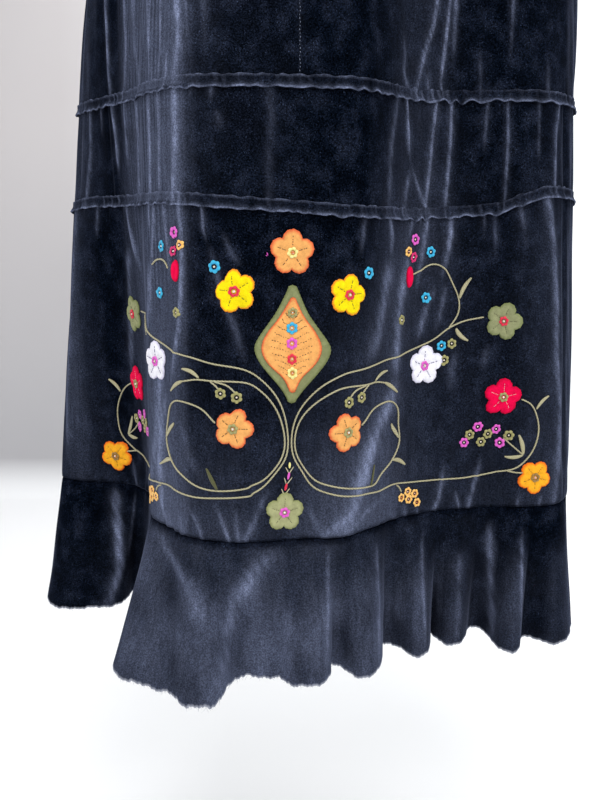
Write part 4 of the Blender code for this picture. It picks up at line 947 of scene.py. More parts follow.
def flounceShell(name, first, last):
    at = columnsBetween(first, last, skirt["flounceColumns"])
    arc, plan, edge = hemAt(at)
    seamLift = relief("flowered", at, np.full(len(at), skirt["seamFlounce"]))[0]
    slowLift = np.convolve(np.pad(seamLift, 14, mode="edge"), np.hanning(29) / np.hanning(29).sum(), mode="valid")
    top = onSkirt(at, skirt["seamFlounce"], slowLift)
    low = np.column_stack([plan, edge])
    share = np.concatenate([np.linspace(0, 0.982, flounce["rows"] - 2), [0.992, 1.0]])[:, None]
    grid = top[None] + (low - top)[None] * share[..., None]
    grid[..., 2] -= skirt["flounceGap"] * (1 - share)
    normals = gridNormals(grid)
    turn = np.broadcast_to(at[None], grid.shape[:2])
    under = share * flounce["depth"]
    lift = (gathered("belowFlounce", turn, under, 6.1) * smooth(share * 20)
            + (seamLift - slowLift)[None] * np.exp(-under / 8.0))
    uneven = 0.5 * np.sin(2 * np.pi * 41 * turn + share * 5) * np.sin(2 * np.pi * 9 * turn - share * 3)
    lift = lift + uneven * smooth(share * 4) * (1 - smooth((share - 0.8) * 5))
    grid = grid + normals * lift[..., None]
    t = 2 * np.pi * turn
    raised, shine = creaseField(flounce["creases"], *np.broadcast_arrays(arc[None], -under))
    near = np.exp(-under / flounce["grooveReach"])
    grid = grid + normals * (raised - flounce["groove"] * near)[..., None]
    # painted sheen, partly brushed nap, high up and low down on the flounce
    high, down = (np.interp(arc, napAndSheenTable[:, 0], napAndSheenTable[:, k])[None] for k in (1, 2))
    stand = np.interp(arc, hemRows[:, 0], hemRows[:, 1])[None]
    # the flutes that stand out catch the light, but not those near the camera
    far = ((arc < -420) | (arc > 90))[None]
    crest = flounce["crest"] * smooth((stand - 6) / 26) * smooth((share - 0.12) / 0.5) * far
    shine = shine + high + (down - high) * smooth((share - 0.15) / 0.5) + crest
    blotch = (np.sin(19 * t + 5 * share) * np.sin(7 * t - 6 * share + 1)
              + 0.6 * np.sin(43 * t - 9 * share) * np.sin(17 * t + 7 * share + 2))
    # painted shade in the groove and just under the seam, where the painted sheen is taken away
    shine = shine * (1 + 0.32 * blotch) * (1 - near) * smooth(under / 9.0)
    drop = np.linalg.norm(low - top, axis=1)[None] * (1 - share)
    raw = 1 - smooth(drop / flounce["rawWidth"])
    # the seam allowance, turned in and up behind the tier above, so that no light comes through the seam
    turnedIn = grid[0] - normals[0] * flounce["turnIn"]
    grid = np.concatenate([[turnedIn + (0, 0, flounce["turnUp"]), turnedIn], grid])
    noShine = np.zeros((2, len(at)))
    shine, raw = (np.concatenate([noShine, np.broadcast_to(value, turn.shape)]) for value in (shine, raw))
    return clothShell(name, grid, skirt["wall"], np.clip(shine, 0, 1), raw)


for name, first, last in (("flounce_front", -side, side), ("flounce_back", side, 1 - side)):
    made = settle(flounceShell("velvet_" + name, first, last), [name])
print("flounce made")

# Raised seams: the tier's edge folded into a lip that hangs over the next tier, its edges wandering and curling
lip = {
    # out and up of the lip's section, how far each point wanders up and outward, how much its pile catches the light
    "section": ((0.6, 5.2, 1.0, 0.0, 0.00), (1.7, 5.3, 1.0, 0.4, 0.50), (2.4, 4.6, 0.9, 0.5, 0.30),
                (2.3, 2.8, 0.4, 0.3, 0.03), (2.2, 0.8, 0.1, 0.3, 0.02),
                (2.6, -1.2, 0.3, 0.5, 0.05), (3.6, -3.2, 0.8, 0.9, 0.22), (4.4, -4.6, 1.1, 1.1, 0.85),
                (4.3, -5.4, 1.2, 1.1, 0.75), (3.2, -5.4, 1.1, 0.9, 0.05),
                (1.6, -4.4, 0.5, 0.3, 0.00), (0.6, -3.6, 0.0, 0.0, 0.00)),
    "columns": 1420, "edge": 1.35, "curl": 1.5, "curlFrom": 185.0, "curlReach": 75.0, "pleat": 0.55,
    # size and count of three uneven ripples for the upper edge and of three others for the lower one
    "ripples": ((0.5, 73), (0.35, 131), (0.25, 29), (0.45, 61), (0.4, 103), (0.3, 37)),
}


def raisedSeam(name, height, tier, node, seed):
    at = np.arange(lip["columns"]) / lip["columns"]
    around = wrapped(at * commonSweep)
    z0 = height(at)
    lift, crease = creaseField(creases[tier], around, z0)
    lift = lift * 0.6 + softWaves(at, z0)
    strength = np.interp(around, gatherStrength[:, 0], gatherStrength[:, 1])[None]
    out, up, wanderUp, wanderOut, catch = np.array(lip["section"]).T[:, :, None]
    t = 2 * np.pi * at[None]
    wanders = [size * ripple(at, count, seed + k)[None] for k, (size, count) in enumerate(lip["ripples"])]
    upperWander, lowerWander = sum(wanders[:3]), sum(wanders[3:])
    nearCurl = np.exp(-((around - lip["curlFrom"]) / lip["curlReach"]) ** 4)[None]
    curl = nearCurl * ripple(at, 69, seed + 6)[None] * lip["curl"]
    wander = np.where(up > 1.5, upperWander, lowerWander + 0.8 * curl)
    # pleats slant across the lip where the cloth is gathered
    pleat = ripple(at[None] + 0.0011 * (up + 5) / 5, 148, seed + 7) * ripple(at, 41, seed + 8)[None] * strength
    grid = onSkirt(np.broadcast_to(at[None] + 0.0 * up, (len(out), len(at))),
                   z0[None] + up + wanderUp * (lip["edge"] * wander),
                   out + lift[None] + wanderOut * (0.5 * wander + lip["pleat"] * pleat + 0.3 * curl))
    faces = outwards(grid.reshape(-1, 3), [gridFaces(len(out), len(at), round=True, loop=True)])
    broken = 0.62 + 0.38 * np.sin(23 * t + seed) * np.sin(57 * t + 2 * seed) + 0.25 * wander
    # the upper edge catches less light where the lip curls
    shine = (catch * broken * (1 - 0.75 * nearCurl * (up > 3.5)) + 0.30 * np.clip(pleat, 0, 1) * (catch > 0.01)
             + 0.9 * napAndSheenAt(around, z0)[None] * (up > -2) + 0.5 * crease[None])
    uv = np.stack(np.broadcast_arrays(at[None] * 1.4, up * mm), -1).reshape(-1, 2)
    shine = np.clip(np.broadcast_to(shine, grid.shape[:2]), 0, 1)
    made = putMesh(name, grid.reshape(-1, 3), faces, [velvet], {"shine": shine, "raw": np.zeros(shine.shape)}, uv=uv)
    return settle(made, [node])


upperLip = raisedSeam("velvet_raised_seam_upper", level(skirt["seamUpper"]), "upper", "raised_seam_upper", 0.8)
lowerLip = raisedSeam("velvet_raised_seam_lower", lowerSeam, "middle", "raised_seam_lower", 2.9)
print("raised seams made")

# Flat places on the flowered panel: out from the middle of the embroidery and down from its top, moved right and
# down as the hanging cloth moves them
flat = {"datum": -535.0, "reach": 12.0}
slantRows = np.array((
    # out, drop, right, down
    (0, 31, -7, 1), (0, 109, -8, -2), (0, 200, -9.5, 0), (0, 253, -14.5, 1.5),
    (-53, 66, -2.5, -2.5), (53, 66, -11, 1.5), (-122, 52, 14, -4.5), (122, 52, 5.5, 4),
    (-76, 47, 5, -3.5), (76, 47, -12, 3), (-126, 20, 18, -4), (126, 20, 10.5, 3),
    (-147, 30, 14, -2.5), (147, 30, 7.5, 4), (-149, 72, 10, -4.5), (149, 72, 0.5, 3.5),
    (-118, 88, 10, -6), (118, 88, -2.5, 5.5), (-162, 135, 13.5, -6.5), (162, 135, -15, 3.5),
    (183, 118, -11.5, 2), (187, 75, -3.5, 3), (-240, 97, -7, -2.5), (240, 97, -13.5, 1),
    (-245, 168, -13, -3), (245, 168, -16.5, 2.5), (-289, 249, -28, 0), (289, 249, -27.5, 1),
    (-51, 184, -7, -4.5), (51, 184, -9, 2.5), (-59, 156, -2, -5), (59, 156, -8, 3),
    (-259, 209, -9, -2.5), (225, 204, -28, 3), (259, 209, -28.5, 2.5), (170, 263, -40.5, 1),
    (143, 212, -34, 0), (-174, 261, 1, -4), (-149, 203, 15, -8), (-101, 168, 3.5, -8), (101, 168, -18, -1),
    (262, 242, -28, 1), (-262, 242, -20, -3.5), (-83, 245, 16, -4), (54, 242, -14.5, 1.5),
), float)


def lay(out, drop):
    # a mean of the slant rows, in which the near ones count most
    out, drop = np.broadcast_arrays(np.asarray(out, float), np.asarray(drop, float))
    away = np.stack([out, drop], -1)[..., None, :] - slantRows[:, :2]
    near = 1 / ((away**2).sum(-1) + flat["reach"]**2) ** 2
    moved = (near[..., None] * slantRows[:, 2:]).sum(-2) / near.sum(-1)[..., None]
    z = flat["datum"] - drop - moved[..., 1]
    return (out + moved[..., 0]) / sweepAt(z), z


def onVelvet(turn, z, lift):
    # a place on the velvet's face, lifted along its normal, which comes from places 0.6 mm to each side of it
    dt, dz = 0.6 / commonSweep, 0.6
    point = lambda t, h: onSkirt(t, h, relief("flowered", t, h)[0])
    across = point(turn + dt, z) - point(turn - dt, z)
    down = point(turn, z - dz) - point(turn, z + dz)
    normal = np.cross(down, across)
    normal /= np.linalg.norm(normal, axis=-1, keepdims=True)
    return point(turn, z) + normal * (skirt["wall"] / 2 + np.asarray(lift, float))[..., None]


def laid(out, drop, lift):
    return onVelvet(*lay(out, drop), lift)


# Felt flowers: five round petals, pulled down along a line of stitches in each petal
flowers = {
    # out, drop, radius, turn in degrees, felt, rosette at the centre
    "flower_top": (0, 31, 19.2, 2, "orange", "pale"), "flower_yellow": (53, 66, 18.3, 14, "yellow", "red"),
    "flower_olive": (240, 97, 17.8, 20, "olive", "red"), "flower_white": (162, 135, 18.3, 4, "white", "pink"),
    "flower_red": (245, 168, 18.0, 4, "red", "olive"), "flower_golden": (289, 249, 17.0, 35, "golden", "brown"),
    "flower_orange": (51, 184, 17.5, -18, "orange", "olive"), "flower_base": (0, 253, 17.3, 3, "olive", "pink"),
}
feltSection = np.array(((0.0, 1.75), (0.10, 1.8), (0.24, 1.95), (0.40, 2.1), (0.56, 2.15), (0.70, 2.1), (0.82, 1.95),
                        (0.90, 1.75),
                        (0.955, 1.45), (0.985, 1.1), (1.0, 0.75), (0.99, 0.4), (0.94, 0.25), (0.6, 0.2), (0.0, 0.2)))


def feltShell(points, poles, rim, poleRim):
    # a grid of felt closed by its two poles, with the share of the way to its cut rim
    rows, cols = points.shape[:2]
    points = np.concatenate([points.reshape(-1, 3), poles])
    rim = np.concatenate([np.broadcast_to(rim, (rows, cols)).ravel(), [poleRim, poleRim]])
    return points, outwards(points, withPoles(rows, cols)), {"rim": rim}


def sidesOf(outOf):
    # once in the middle, otherwise left and right
    return ((1, ""),) if outOf == 0 else ((-1, "_left"), (1, "_right"))


def flowerShell(outOf, drop, radius, turned, side):
    # radius times a five-lobed curve of the angle, carried over the felt's section from its middle to its underside
    angle = 2 * np.pi * np.arange(110) / 110
    lobes = np.abs(np.cos(2.5 * (angle - np.radians(turned)))) ** 0.72
    fuzz = 0.22 * np.sin(23 * angle + outOf) + 0.16 * np.sin(41 * angle + drop) + 0.12 * np.sin(53 * angle)
    reach = radius * (0.72 + 0.28 * lobes) + fuzz
    share, lift = feltSection[1:-1].T[:, :, None]
    fromAxis = (np.mod(np.degrees(angle) - turned + 36, 72) - 36) * np.pi / 180 * reach * share
    pull = (0.55 * np.exp(-(fromAxis / 1.3) ** 2) * smooth((share - 0.2) / 0.1) * smooth((0.78 - share) / 0.1)
            * (lift > 1.5))
    x = side * (outOf + reach * share * np.sin(angle))
    y = drop - reach * share * np.cos(angle)
    points = laid(x, y, lift - pull)
    return feltShell(points, laid(np.full(2, side * outOf), np.full(2, drop), feltSection[[0, -1], 1]), share, 0)


for name, (outOf, drop, radius, turned, felt, _) in flowers.items():
    for sign, word in sidesOf(outOf):
        shell = flowerShell(outOf, drop, radius, turned, sign)
        sewnOn("felt_" + name + word, shell, felts.get(name, felts[felt]), [name + word])

# The bud, an oval of felt, and the two drops, each a table of half widths down its length
bud = {"out": 122, "drop": 52, "halfWidth": 5.4, "halfHeight": 9.5}
drops = {
    "drop_outer": ("olive", 0.0, ((58.0, 0.0), (58.5, 2.6), (61, 4.4), (66, 6.6), (72, 9.4), (84, 15.3), (93.4, 21.9),
                                  (103.6, 29.4), (109, 33.0),
                                  (113, 34.4), (118, 33.6), (126, 29.6), (136, 21.8), (145, 13.6), (152.7, 7.2),
                                  (157.5, 4.0), (159.6, 2.2), (160.0, 0.0))),
    "drop_inner": ("orange", 1.5, ((69.0, 0.0), (69.6, 1.6), (73, 3.8), (78, 6.2), (84, 9.4), (91, 14.3), (97.6, 20.2),
                                   (106, 25.2), (113, 26.9),
                                   (119.7, 25.6), (126.5, 21.6), (131.5, 16.7), (137.5, 9.9), (142.5, 6.4), (147, 4.4),
                                   (150.3, 2.0), (151.0, 0.0))),
}
dropSection = np.array(((-1.0, 0.75), (-0.985, 1.1), (-0.95, 1.4), (-0.88, 1.6), (-0.7, 1.7), (-0.45, 1.72),
                        (-0.2, 1.7), (0.0, 1.7), (0.2, 1.7),
                        (0.45, 1.72), (0.7, 1.7), (0.88, 1.6), (0.95, 1.4), (0.985, 1.1), (1.0, 0.75), (0.97, 0.35),
                        (0.5, 0.25), (-0.5, 0.25), (-0.97, 0.35)))


def dropShell(table, lower):
    # the half width at each drop times the section across
    table = np.array(table, float)
    at = np.linspace(table[0, 0], table[-1, 0], 70)[1:-1]
    half = np.interp(at, table[:, 0], table[:, 1])
    half = np.convolve(np.pad(half, 2, mode="edge"), np.ones(5) / 5, mode="valid")
    across, lift = dropSection.T
    ends = np.minimum(at - table[0, 0], table[-1, 0] - at)
    rounded = np.minimum(1.0, 0.35 + 0.65 * smooth(ends / 3.0))[:, None]
    x = half[:, None] * across[None] + 0.2 * np.sin(at * 2.1)[:, None]
    points = laid(x, np.broadcast_to(at[:, None], x.shape), lower + lift[None] * rounded)
    poles = laid(np.zeros(2), table[[0, -1], 0], np.full(2, lower + 0.5))
    inside = np.minimum(half[:, None] * (1 - np.abs(across[None])) * 0.8, ends[:, None] * 0.5)
    return feltShell(points, poles, 1 - 0.09 * np.clip(inside, 0, 10), 1)


for name, (felt, lower, table) in drops.items():
    sewnOn("felt_" + name, dropShell(table, lower), felts.get(name, felts[felt]), [name])
for sign, word in sidesOf(bud["out"]):
    angle = 2 * np.pi * np.arange(36) / 36
    share, lift = feltSection[1:-1].T[:, :, None]
    x = sign * (bud["out"] + bud["halfWidth"] * share * np.sin(angle))
    points = laid(x, bud["drop"] - bud["halfHeight"] * share * np.cos(angle), lift)
    poles = laid(np.full(2, sign * bud["out"]), np.full(2, bud["drop"]), feltSection[[0, -1], 1])
    sewnOn("felt_bud" + word, feltShell(points, poles, share, 0), felts["red"], ["bud" + word])
print("felt pieces made")

# Stems: a two-ply cord couched along smooth curves. Leaves: satin stitch across a lens
stems = {
    "radius": 0.70, "ply": 0.24, "twist": 3.4, "step": 1.0, "lift": 0.6, "even": 12,
    "paths": (
        ((220, 93), (197, 95), (183.6, 102), (165.8, 114), (133.2, 121), (78.5, 129), (45.3, 133.3), (25, 145),
         (10, 162), (3.2, 178),
         (1.4, 194), (3.6, 207), (11.3, 218), (23.3, 231.3), (37.6, 237.3), (54.2, 241.9), (83.1, 244.8),
         (115.7, 246.8), (143.4, 244.8), (190.9, 247.8),
         (228.7, 246.8), (256, 242.8), (268.6, 240.8), (280.1, 231), (288.4, 217), (291, 199), (284, 183), (274.2, 174),
         (263, 170)),
        ((108.5, 149), (86.5, 145), (46.3, 144.3), (32.1, 150.3), (20.2, 159.3), (10.5, 171), (5.6, 183), (4.2, 194),
         (6.0, 204), (11.2, 213),
         (23.1, 225), (37.3, 230.3), (60.5, 235.8), (96, 238.8), (120.1, 231), (139.2, 221), (149.5, 207), (145.9, 193),
         (135.8, 177), (118.9, 167), (101.1, 168),
         (83.9, 173), (68, 180)),
        ((262, 242.2), (272, 244), (282, 244)),
        ((150.7, 246.8), (156, 249), (160, 254)),
        ((277, 226), (266, 215), (258, 208)),
        ((72, 144.6), (60, 147.5), (53, 154)), ((76, 144.6), (71, 147.5), (67, 151.5)),
    ),
    # the curl by the bud: on the left a fold covers most of it
    "right": (((183.6, 102), (187.3, 90), (187.4, 75), (179.4, 59), (168.1, 47), (155, 41), (144.2, 42), (138.1, 47),
               (128, 50)),),
    "left": (((163, 47), (155, 41.5), (144.2, 42), (138.1, 46), (134, 50)),),
}
leaves = {
    # root, tip, half width, bend sideways
    "leaf": (((190.6, 102), (205, 115), 1.65, -1.6), ((107, 148.4), (127.4, 159.5), 1.65, 1.2),
             ((88.4, 144.6), (110, 137), 1.65, 1.8), ((283.6, 181), (297, 168), 1.65, 1.6),
             ((277, 226), (272, 204), 1.65, -1.4),
             ((277, 226), (259, 227.5), 1.65, 1.6), ((148.8, 203), (127.7, 187), 1.65, -1.6),
             ((138, 221.5), (159, 229.5), 1.65, 1.8)),
    "leafRight": (((187.4, 75), (200, 54), 1.65, 1.6),),
    "leafDark": (((88, 238.6), (95, 219), 1.65, -1.2),),
}


def curveThrough(places, step):
    # a smooth curve through flat places, points a step apart
    places = np.array(places, float)
    ends = np.vstack([2 * places[0] - places[1], places, 2 * places[-1] - places[-2]])
    t = (np.arange(20) / 20)[None, :, None]
    a, b, c, d = (ends[k:len(ends) - 3 + k, None] for k in range(4))
    fine = 0.5 * (2 * b + (c - a) * t + (2 * a - 5 * b + 4 * c - d) * t**2 + (3 * b - a - 3 * c + d) * t**3)
    fine = np.vstack([fine.reshape(-1, 2), places[-1:]])
    run = np.concatenate([[0], np.cumsum(np.linalg.norm(np.diff(fine, axis=0), axis=1))])
    even = np.linspace(0, run[-1], max(int(run[-1] / step), 3))
    return np.stack([np.interp(even, run, fine[:, k]) for k in (0, 1)], -1), even


def capped(points, rows, cols, values):
    # closes a tube of rows with a fan at each end
    first, last = points[:cols].mean(0), points[(rows - 1) * cols:].mean(0)
    points = np.concatenate([points, [first, last]])
    values = {k: np.concatenate([np.ravel(v), [0.5, 0.5]]) for k, v in values.items()}
    return points, outwards(points, withPoles(rows, cols)), values


def cordShell(places, sign, radius, lift, sides=8):
    # a circle with two plies turning along the curve, laid on the velvet and evened out there
    line, run = curveThrough(places, stems["step"])
    turn, z = lay(line[:, 0] * sign, line[:, 1])
    line = np.stack([turn * commonSweep, z], -1)
    window = min(stems["even"], (len(line) - 1) // 4) * 2 + 1
    weights = np.hanning(window + 2)[1:-1]
    ends = np.concatenate([2 * line[:1] - line[window // 2:0:-1], line, 2 * line[-1:] - line[-2:-2 - window // 2:-1]])
    line = np.stack([np.convolve(ends[:, k], weights / weights.sum(), mode="valid") for k in (0, 1)], -1)
    along = np.gradient(line, axis=0)
    along /= np.linalg.norm(along, axis=1, keepdims=True)
    sideways = np.stack([-along[:, 1], along[:, 0]], -1)
    angle = 2 * np.pi * np.arange(sides) / sides
    ply = np.cos(2 * angle[None] - 2 * np.pi * run[:, None] / stems["twist"])
    reach = radius * (1 + stems["ply"] * ply) * np.minimum(1, 0.5 + np.minimum(run, run[-1] - run) / 1.5)[:, None]
    x = line[:, 0:1] + sideways[:, 0:1] * reach * np.cos(angle)
    y = line[:, 1:2] + sideways[:, 1:2] * reach * np.cos(angle)
    points = onVelvet(x / commonSweep, y, lift + reach * np.sin(angle)).reshape(-1, 3)
    # the ply value puts painted shade in the grooves between the plies
    return capped(points, len(line), sides, {"ply": 0.5 + 0.5 * ply})


def leafShell(root, tip, halfWidth, bend, sign):
    # a lens about a bent line, domed, its satin threads lying aslant
    t = np.linspace(0, 1, 22)[1:-1]
    root, tip = np.array(root) * (sign, 1), np.array(tip) * (sign, 1)
    along = tip - root
    size = np.linalg.norm(along)
    sideways = np.array([along[1], -along[0]]) / size
    middle = root + along * t[:, None] + sideways * (sign * bend * np.sin(np.pi * t))[:, None]
    half = halfWidth * np.sin(np.pi * np.clip(t * 0.92 + 0.02, 0, 1) ** 0.85) ** 0.9 + 0.35
    across, lift = np.array(((-1, 0.5), (-0.8, 0.95), (-0.4, 1.35), (0, 1.45), (0.4, 1.35), (0.8, 0.95), (1, 0.5),
                             (0.6, 0.2), (-0.6, 0.2))).T
    thread = np.cos(2 * np.pi * (t[:, None] * size + 1.1 * np.abs(across[None]) * halfWidth) / 1.7)
    x = middle[:, 0:1] + sideways[0] * half[:, None] * across
    y = middle[:, 1:2] + sideways[1] * half[:, None] * across
    points = laid(x, y, lift[None] + 0.06 * thread).reshape(-1, 3)
    # the ply value puts painted shade between the satin threads
    return capped(points, len(t), len(across), {"ply": 0.62 + 0.38 * thread})


cords = joined([cordShell(path, sign, stems["radius"], stems["lift"])
                for sign, own in ((-1, "left"), (1, "right")) for path in stems["paths"] + stems[own]])
sewnOn("cord_stems", cords, threads["stem"])
for kind, rows in leaves.items():
    signs = (1,) if kind == "leafRight" else (-1, 1)
    shell = joined([leafShell(*row, sign) for sign in signs for row in rows])
    sewnOn("satin_" + kind, shell, threads.get(kind, threads["leaf"]))
print("stems and leaves made")

# Rosettes: a ring of small satin loops round a bead
rosetteRadius = 5.3
rosettes = {
    "teal": ((0, 96.3, 2.9, 1.0), (76, 47, 0, 1.05), (147.5, 30, 0, 1.0), (149, 72, 0, 1.0), (177.7, 118.5, 0, 0.95)),
    "pink": ((0, 109.3, 2.9, 1.0), (126.5, 19.5, 0, 1.0), (231.5, 196.5, 0, 0.95), (218.4, 211.5, 0, 0.95),
             (250.1, 199.5, 0, 0.95),
             (254.7, 213, 0, 1.05)),
    "magenta": ((126.6, 35, 0, 0.9),),
    "red": ((0, 122.6, 2.9, 0.9),),
    "pale": ((0, 134.2, 2.9, 1.0),),
    "gold": ((118, 30, 0, 0.85), (168.4, 255.3, 0, 0.85), (176.9, 258.3, 0, 0.85), (160.2, 259.8, 0, 0.85),
             (169.8, 262.8, 0, 0.85),
             (179.6, 267.3, 0, 0.85)),
    "olive": ((0, 83.0, 2.9, 0.9), (118, 88.5, 0, 0.9), (188.4, 117, 0, 0.95), (181.3, 132, 0, 0.95),
              (224, 204, 0, 0.95), (235.4, 211.5, 0, 0.95),
              (242, 204, 0, 0.95), (263.2, 205.5, 0, 1.0), (52, 157.5, 0, 1.0), (66, 154.5, 0, 0.95)),
    "brown": (),
}
# covered by the fold on the left
underFold = ((177.7, 118.5), (188.4, 117), (181.3, 132))
# the ring at each flower's centre
centres = {(outOf, drop): ring for outOf, drop, _, _, _, ring in flowers.values()}


def rosetteShape(radius):
    # a ring whose outer side has six deep lobes, wound with thread
    angle = 2 * np.pi * np.arange(42) / 42
    outer = radius * (0.74 + 0.26 * np.abs(np.cos(3 * angle)) ** 0.7)
    inner = np.full(42, radius * 0.40)
    phi = 2 * np.pi * np.arange(8) / 8
    middle, half = (outer + inner) / 2, (outer - inner) / 2
    r = middle[None] + half[None] * np.cos(phi)[:, None]
    lift = 0.85 + 0.8 * np.sin(phi)[:, None] + 0.0 * r
    shape = np.stack([r * np.sin(angle), -r * np.cos(angle), lift], -1).reshape(-1, 3)
    # the ply value puts painted shade between the lobes and towards the bead
    ply = (0.25 + 0.75 * np.abs(np.cos(3 * angle)) ** 0.6)[None] * (0.75 + 0.25 * np.cos(phi)[:, None])
    return shape, gridFaces(8, 42, round=True, loop=True), ply.ravel()


def ballShape(radius, flatten=0.85, along=1.0, rings=5, sides=8):
    # a small ball, squashed in height and stretched along its first axis
    phi = np.pi * (np.arange(rings) + 1) / (rings + 1)
    angle = 2 * np.pi * np.arange(sides) / sides
    x = radius * along * np.sin(phi)[:, None] * np.sin(angle)
    y = -radius * np.sin(phi)[:, None] * np.cos(angle)
    z = radius * flatten * np.cos(phi)[:, None] + 0 * x
    poles = [[0, 0, radius * flatten], [0, 0, -radius * flatten]]
    return np.concatenate([np.stack([x, y, z], -1).reshape(-1, 3), poles]), withPoles(rings, sides)


def stamp(shape, faces, places, values):
    # the same small shape at each (out, drop, lift, size, angle)
    shells = []
    for outOf, drop, lift, size, angle in places:
        x = outOf + size * (shape[:, 0] * math.cos(angle) - shape[:, 1] * math.sin(angle))
        y = drop + size * (shape[:, 0] * math.sin(angle) + shape[:, 1] * math.cos(angle))
        points = laid(x, y, lift + size * shape[:, 2])
        shells.append((points, outwards(points, faces), values))
    return joined(shells)


ringShape, ringFaces, ringPly = rosetteShape(rosetteRadius)
beadPlaces = {"pearl": [], "amber": []}
for colour, rows in rosettes.items():
    places, ownBeads = [], beadPlaces["amber" if colour in ("gold", "pale", "brown") else "pearl"]
    for outOf, drop, lift, size in rows:
        for sign, _ in sidesOf(outOf):
            if sign > 0 or (outOf, drop) not in underFold:
                places.append((sign * outOf, drop, lift, size, 0.3 * outOf))
                ownBeads.append((sign * outOf, drop, lift + 0.6, size * 0.95, 0))
    for outOf, drop in (centre for centre, ring in centres.items() if ring == colour):
        for sign, _ in sidesOf(outOf):
            places.append((sign * outOf, drop, 1.7, 0.92, 0.3))
            ownBeads.append((sign * outOf, drop, 2.6, 1.2, 0))
    sewnOn("rosettes_" + colour, stamp(ringShape, [ringFaces], places, {"ply": ringPly}), threads[colour])
ball, ballFaces = ballShape(1.0)
for kind, places in beadPlaces.items():
    points, faces, _ = stamp(ball, ballFaces, places, {"ply": np.full(len(ball), 0.5)})
    settle(putMesh("beads_" + kind, points, faces, [beads[kind]]))
print("rosettes made")

# Stitches: short dashes along each petal and over the inner drop, and the chain of chevrons under the stems
dash, dashFaces = ballShape(0.40, 0.8, 2.5, 3, 6)
dashes = {"speck": [], "greyViolet": [], "white": [],
          # a pink knot beside the top flower
          "pink": [(-21.5, 32.5, 0.5, 1.5, 1.2), (-22.4, 34.0, 0.5, 1.0, 0.2)]}
# thread and size of the dashes on each felt
dashLook = {"orange": ("speck", 0.8), "yellow": ("speck", 0.8), "olive": ("speck", 0.65), "golden": ("speck", 0.65),
            "white": ("greyViolet", 0.95), "red": ("white", 0.65)}
for outOf, drop, radius, turned, felt, _ in flowers.values():
    colour, size = dashLook[felt]
    for sign, _ in sidesOf(outOf):
        for petal in range(5):
            angle = np.radians(turned + 72 * petal)
            for k in range(4):
                share = 0.34 + 0.11 * k + 0.02 * math.sin(7 * petal + 3 * k + outOf)
                x = sign * (outOf + radius * share * math.sin(angle))
                y = drop - radius * share * math.cos(angle)
                dashes[colour].append((x, y, 1.75, size, math.atan2(-math.cos(angle), sign * math.sin(angle))))
seed = np.random.default_rng(7)
# down the inner drop, and how wide its stitched part is there
stitched = ((76, 84, 97, 106, 113, 120, 131, 142, 148), (3, 7, 17, 21, 22, 20, 13, 4, 2))
for row in range(11):
    for way in (-1, 1):
        for share in np.arange(0.16, 0.93, 0.11):
            drop = 84 + 5.6 * row - 7.5 * share + seed.uniform(-0.5, 0.5)
            half = np.interp(drop, *stitched)
            if half > 5 or share < 0.5:
                size, slant = seed.uniform(0.5, 0.95), way * -0.45 + seed.uniform(-0.3, 0.3)
                dashes["speck"].append((way * share * half, drop, 3.25, size, slant))
for colour, places in dashes.items():
    shell = stamp(dash, dashFaces, places, {"ply": np.full(len(dash), 0.4)})
    sewnOn("stitches_" + colour, shell, threads[colour])

# thread, drop and size of each petal of the chain
chain = (("pale", 213, 1.1), ("pink", 222, 1.25), ("red", 231, 1.25))
petalShape, petalFaces = ballShape(1.0, 0.6, 2.6, 5, 8)
for colour, drop, size in chain:
    petalPly = {"ply": np.full(len(petalShape), 0.7)}
    shell = stamp(petalShape, petalFaces, [(0, drop, 0.8, size, math.pi / 2)], petalPly)
    sewnOn("chain_" + colour, shell, threads[colour])
vees = joined([cordShell(((3.6 * way, drop + 1.5), (1.7 * way, drop + 4.4), (0.2 * way, drop + 7.0)), 1, 0.42, 0.6, 6)
               for _, drop, _ in chain for way in (-1, 1)])
sewnOn("chain_chevrons", vees, threads["cream"])
print("stitches made")

# Front seam: small stitches that pull the pile, down the middle of the upper tier
seamStitch = {"pitch": 2.9, "length": 1.5, "radius": 0.28, "wander": 0.35}
zs = np.arange(skirt["panelTop"] - 4, skirt["seamUpper"] + 8, -seamStitch["pitch"])
t = np.arange(len(zs))
spots = seamStitch["wander"] * np.sin(t * 1.7) / commonSweep
ballLong, ballLongFaces = ballShape(1.0, 0.7, 1.0, 3, 6)
shells = []
for z, spot, k in zip(zs, spots, t):
    high = z + ballLong[:, 1] * seamStitch["length"] * (0.8 + 0.3 * math.sin(k * 2.3)) / 2
    turn = spot + ballLong[:, 0] * seamStitch["radius"] / sweepAt(high)
    lift = relief("upper", turn, high)[0] + skirt["wall"] / 2 + 0.35 + ballLong[:, 2] * 0.3
    points = onSkirt(turn, high, lift)
    shells.append((points, outwards(points, ballLongFaces), {"ply": np.full(len(ballLong), 0.6)}))
sewnOn("stitches_front_seam", joined(shells), threads["seam"])

# Frayed threads along the raw hem
fray = {
    "count": 1000, "length": (1.0, 3.4), "near": 1.5, "thick": 0.14, "lean": 0.7, "curl": 0.5, "aside": 0.25,
    "longShare": 0.3, "short": 0.55,
}
turn = (np.arange(fray["count"]) + seed.uniform(-0.5, 0.5, fray["count"])) / fray["count"]
arc, plan, edge = hemAt(turn)
near = nearCamera(arc)
length = seed.uniform(*fray["length"], fray["count"]) * (1 + (fray["near"] - 1) * near)
length = length * np.where(seed.random(fray["count"]) < fray["longShare"], 1.0, fray["short"])
ahead = hemAt(turn + 0.0005)[1] - plan
ahead = np.column_stack([ahead / np.linalg.norm(ahead, axis=1, keepdims=True), np.zeros(len(plan))])
lean = seed.normal(0, fray["lean"], fray["count"])
curl = seed.normal(0, fray["curl"], fray["count"])
s = np.linspace(-0.25, 1, 5)
aside = np.stack([ahead[:, 1], -ahead[:, 0], np.zeros(len(plan))], -1)
root = np.column_stack([plan, edge])
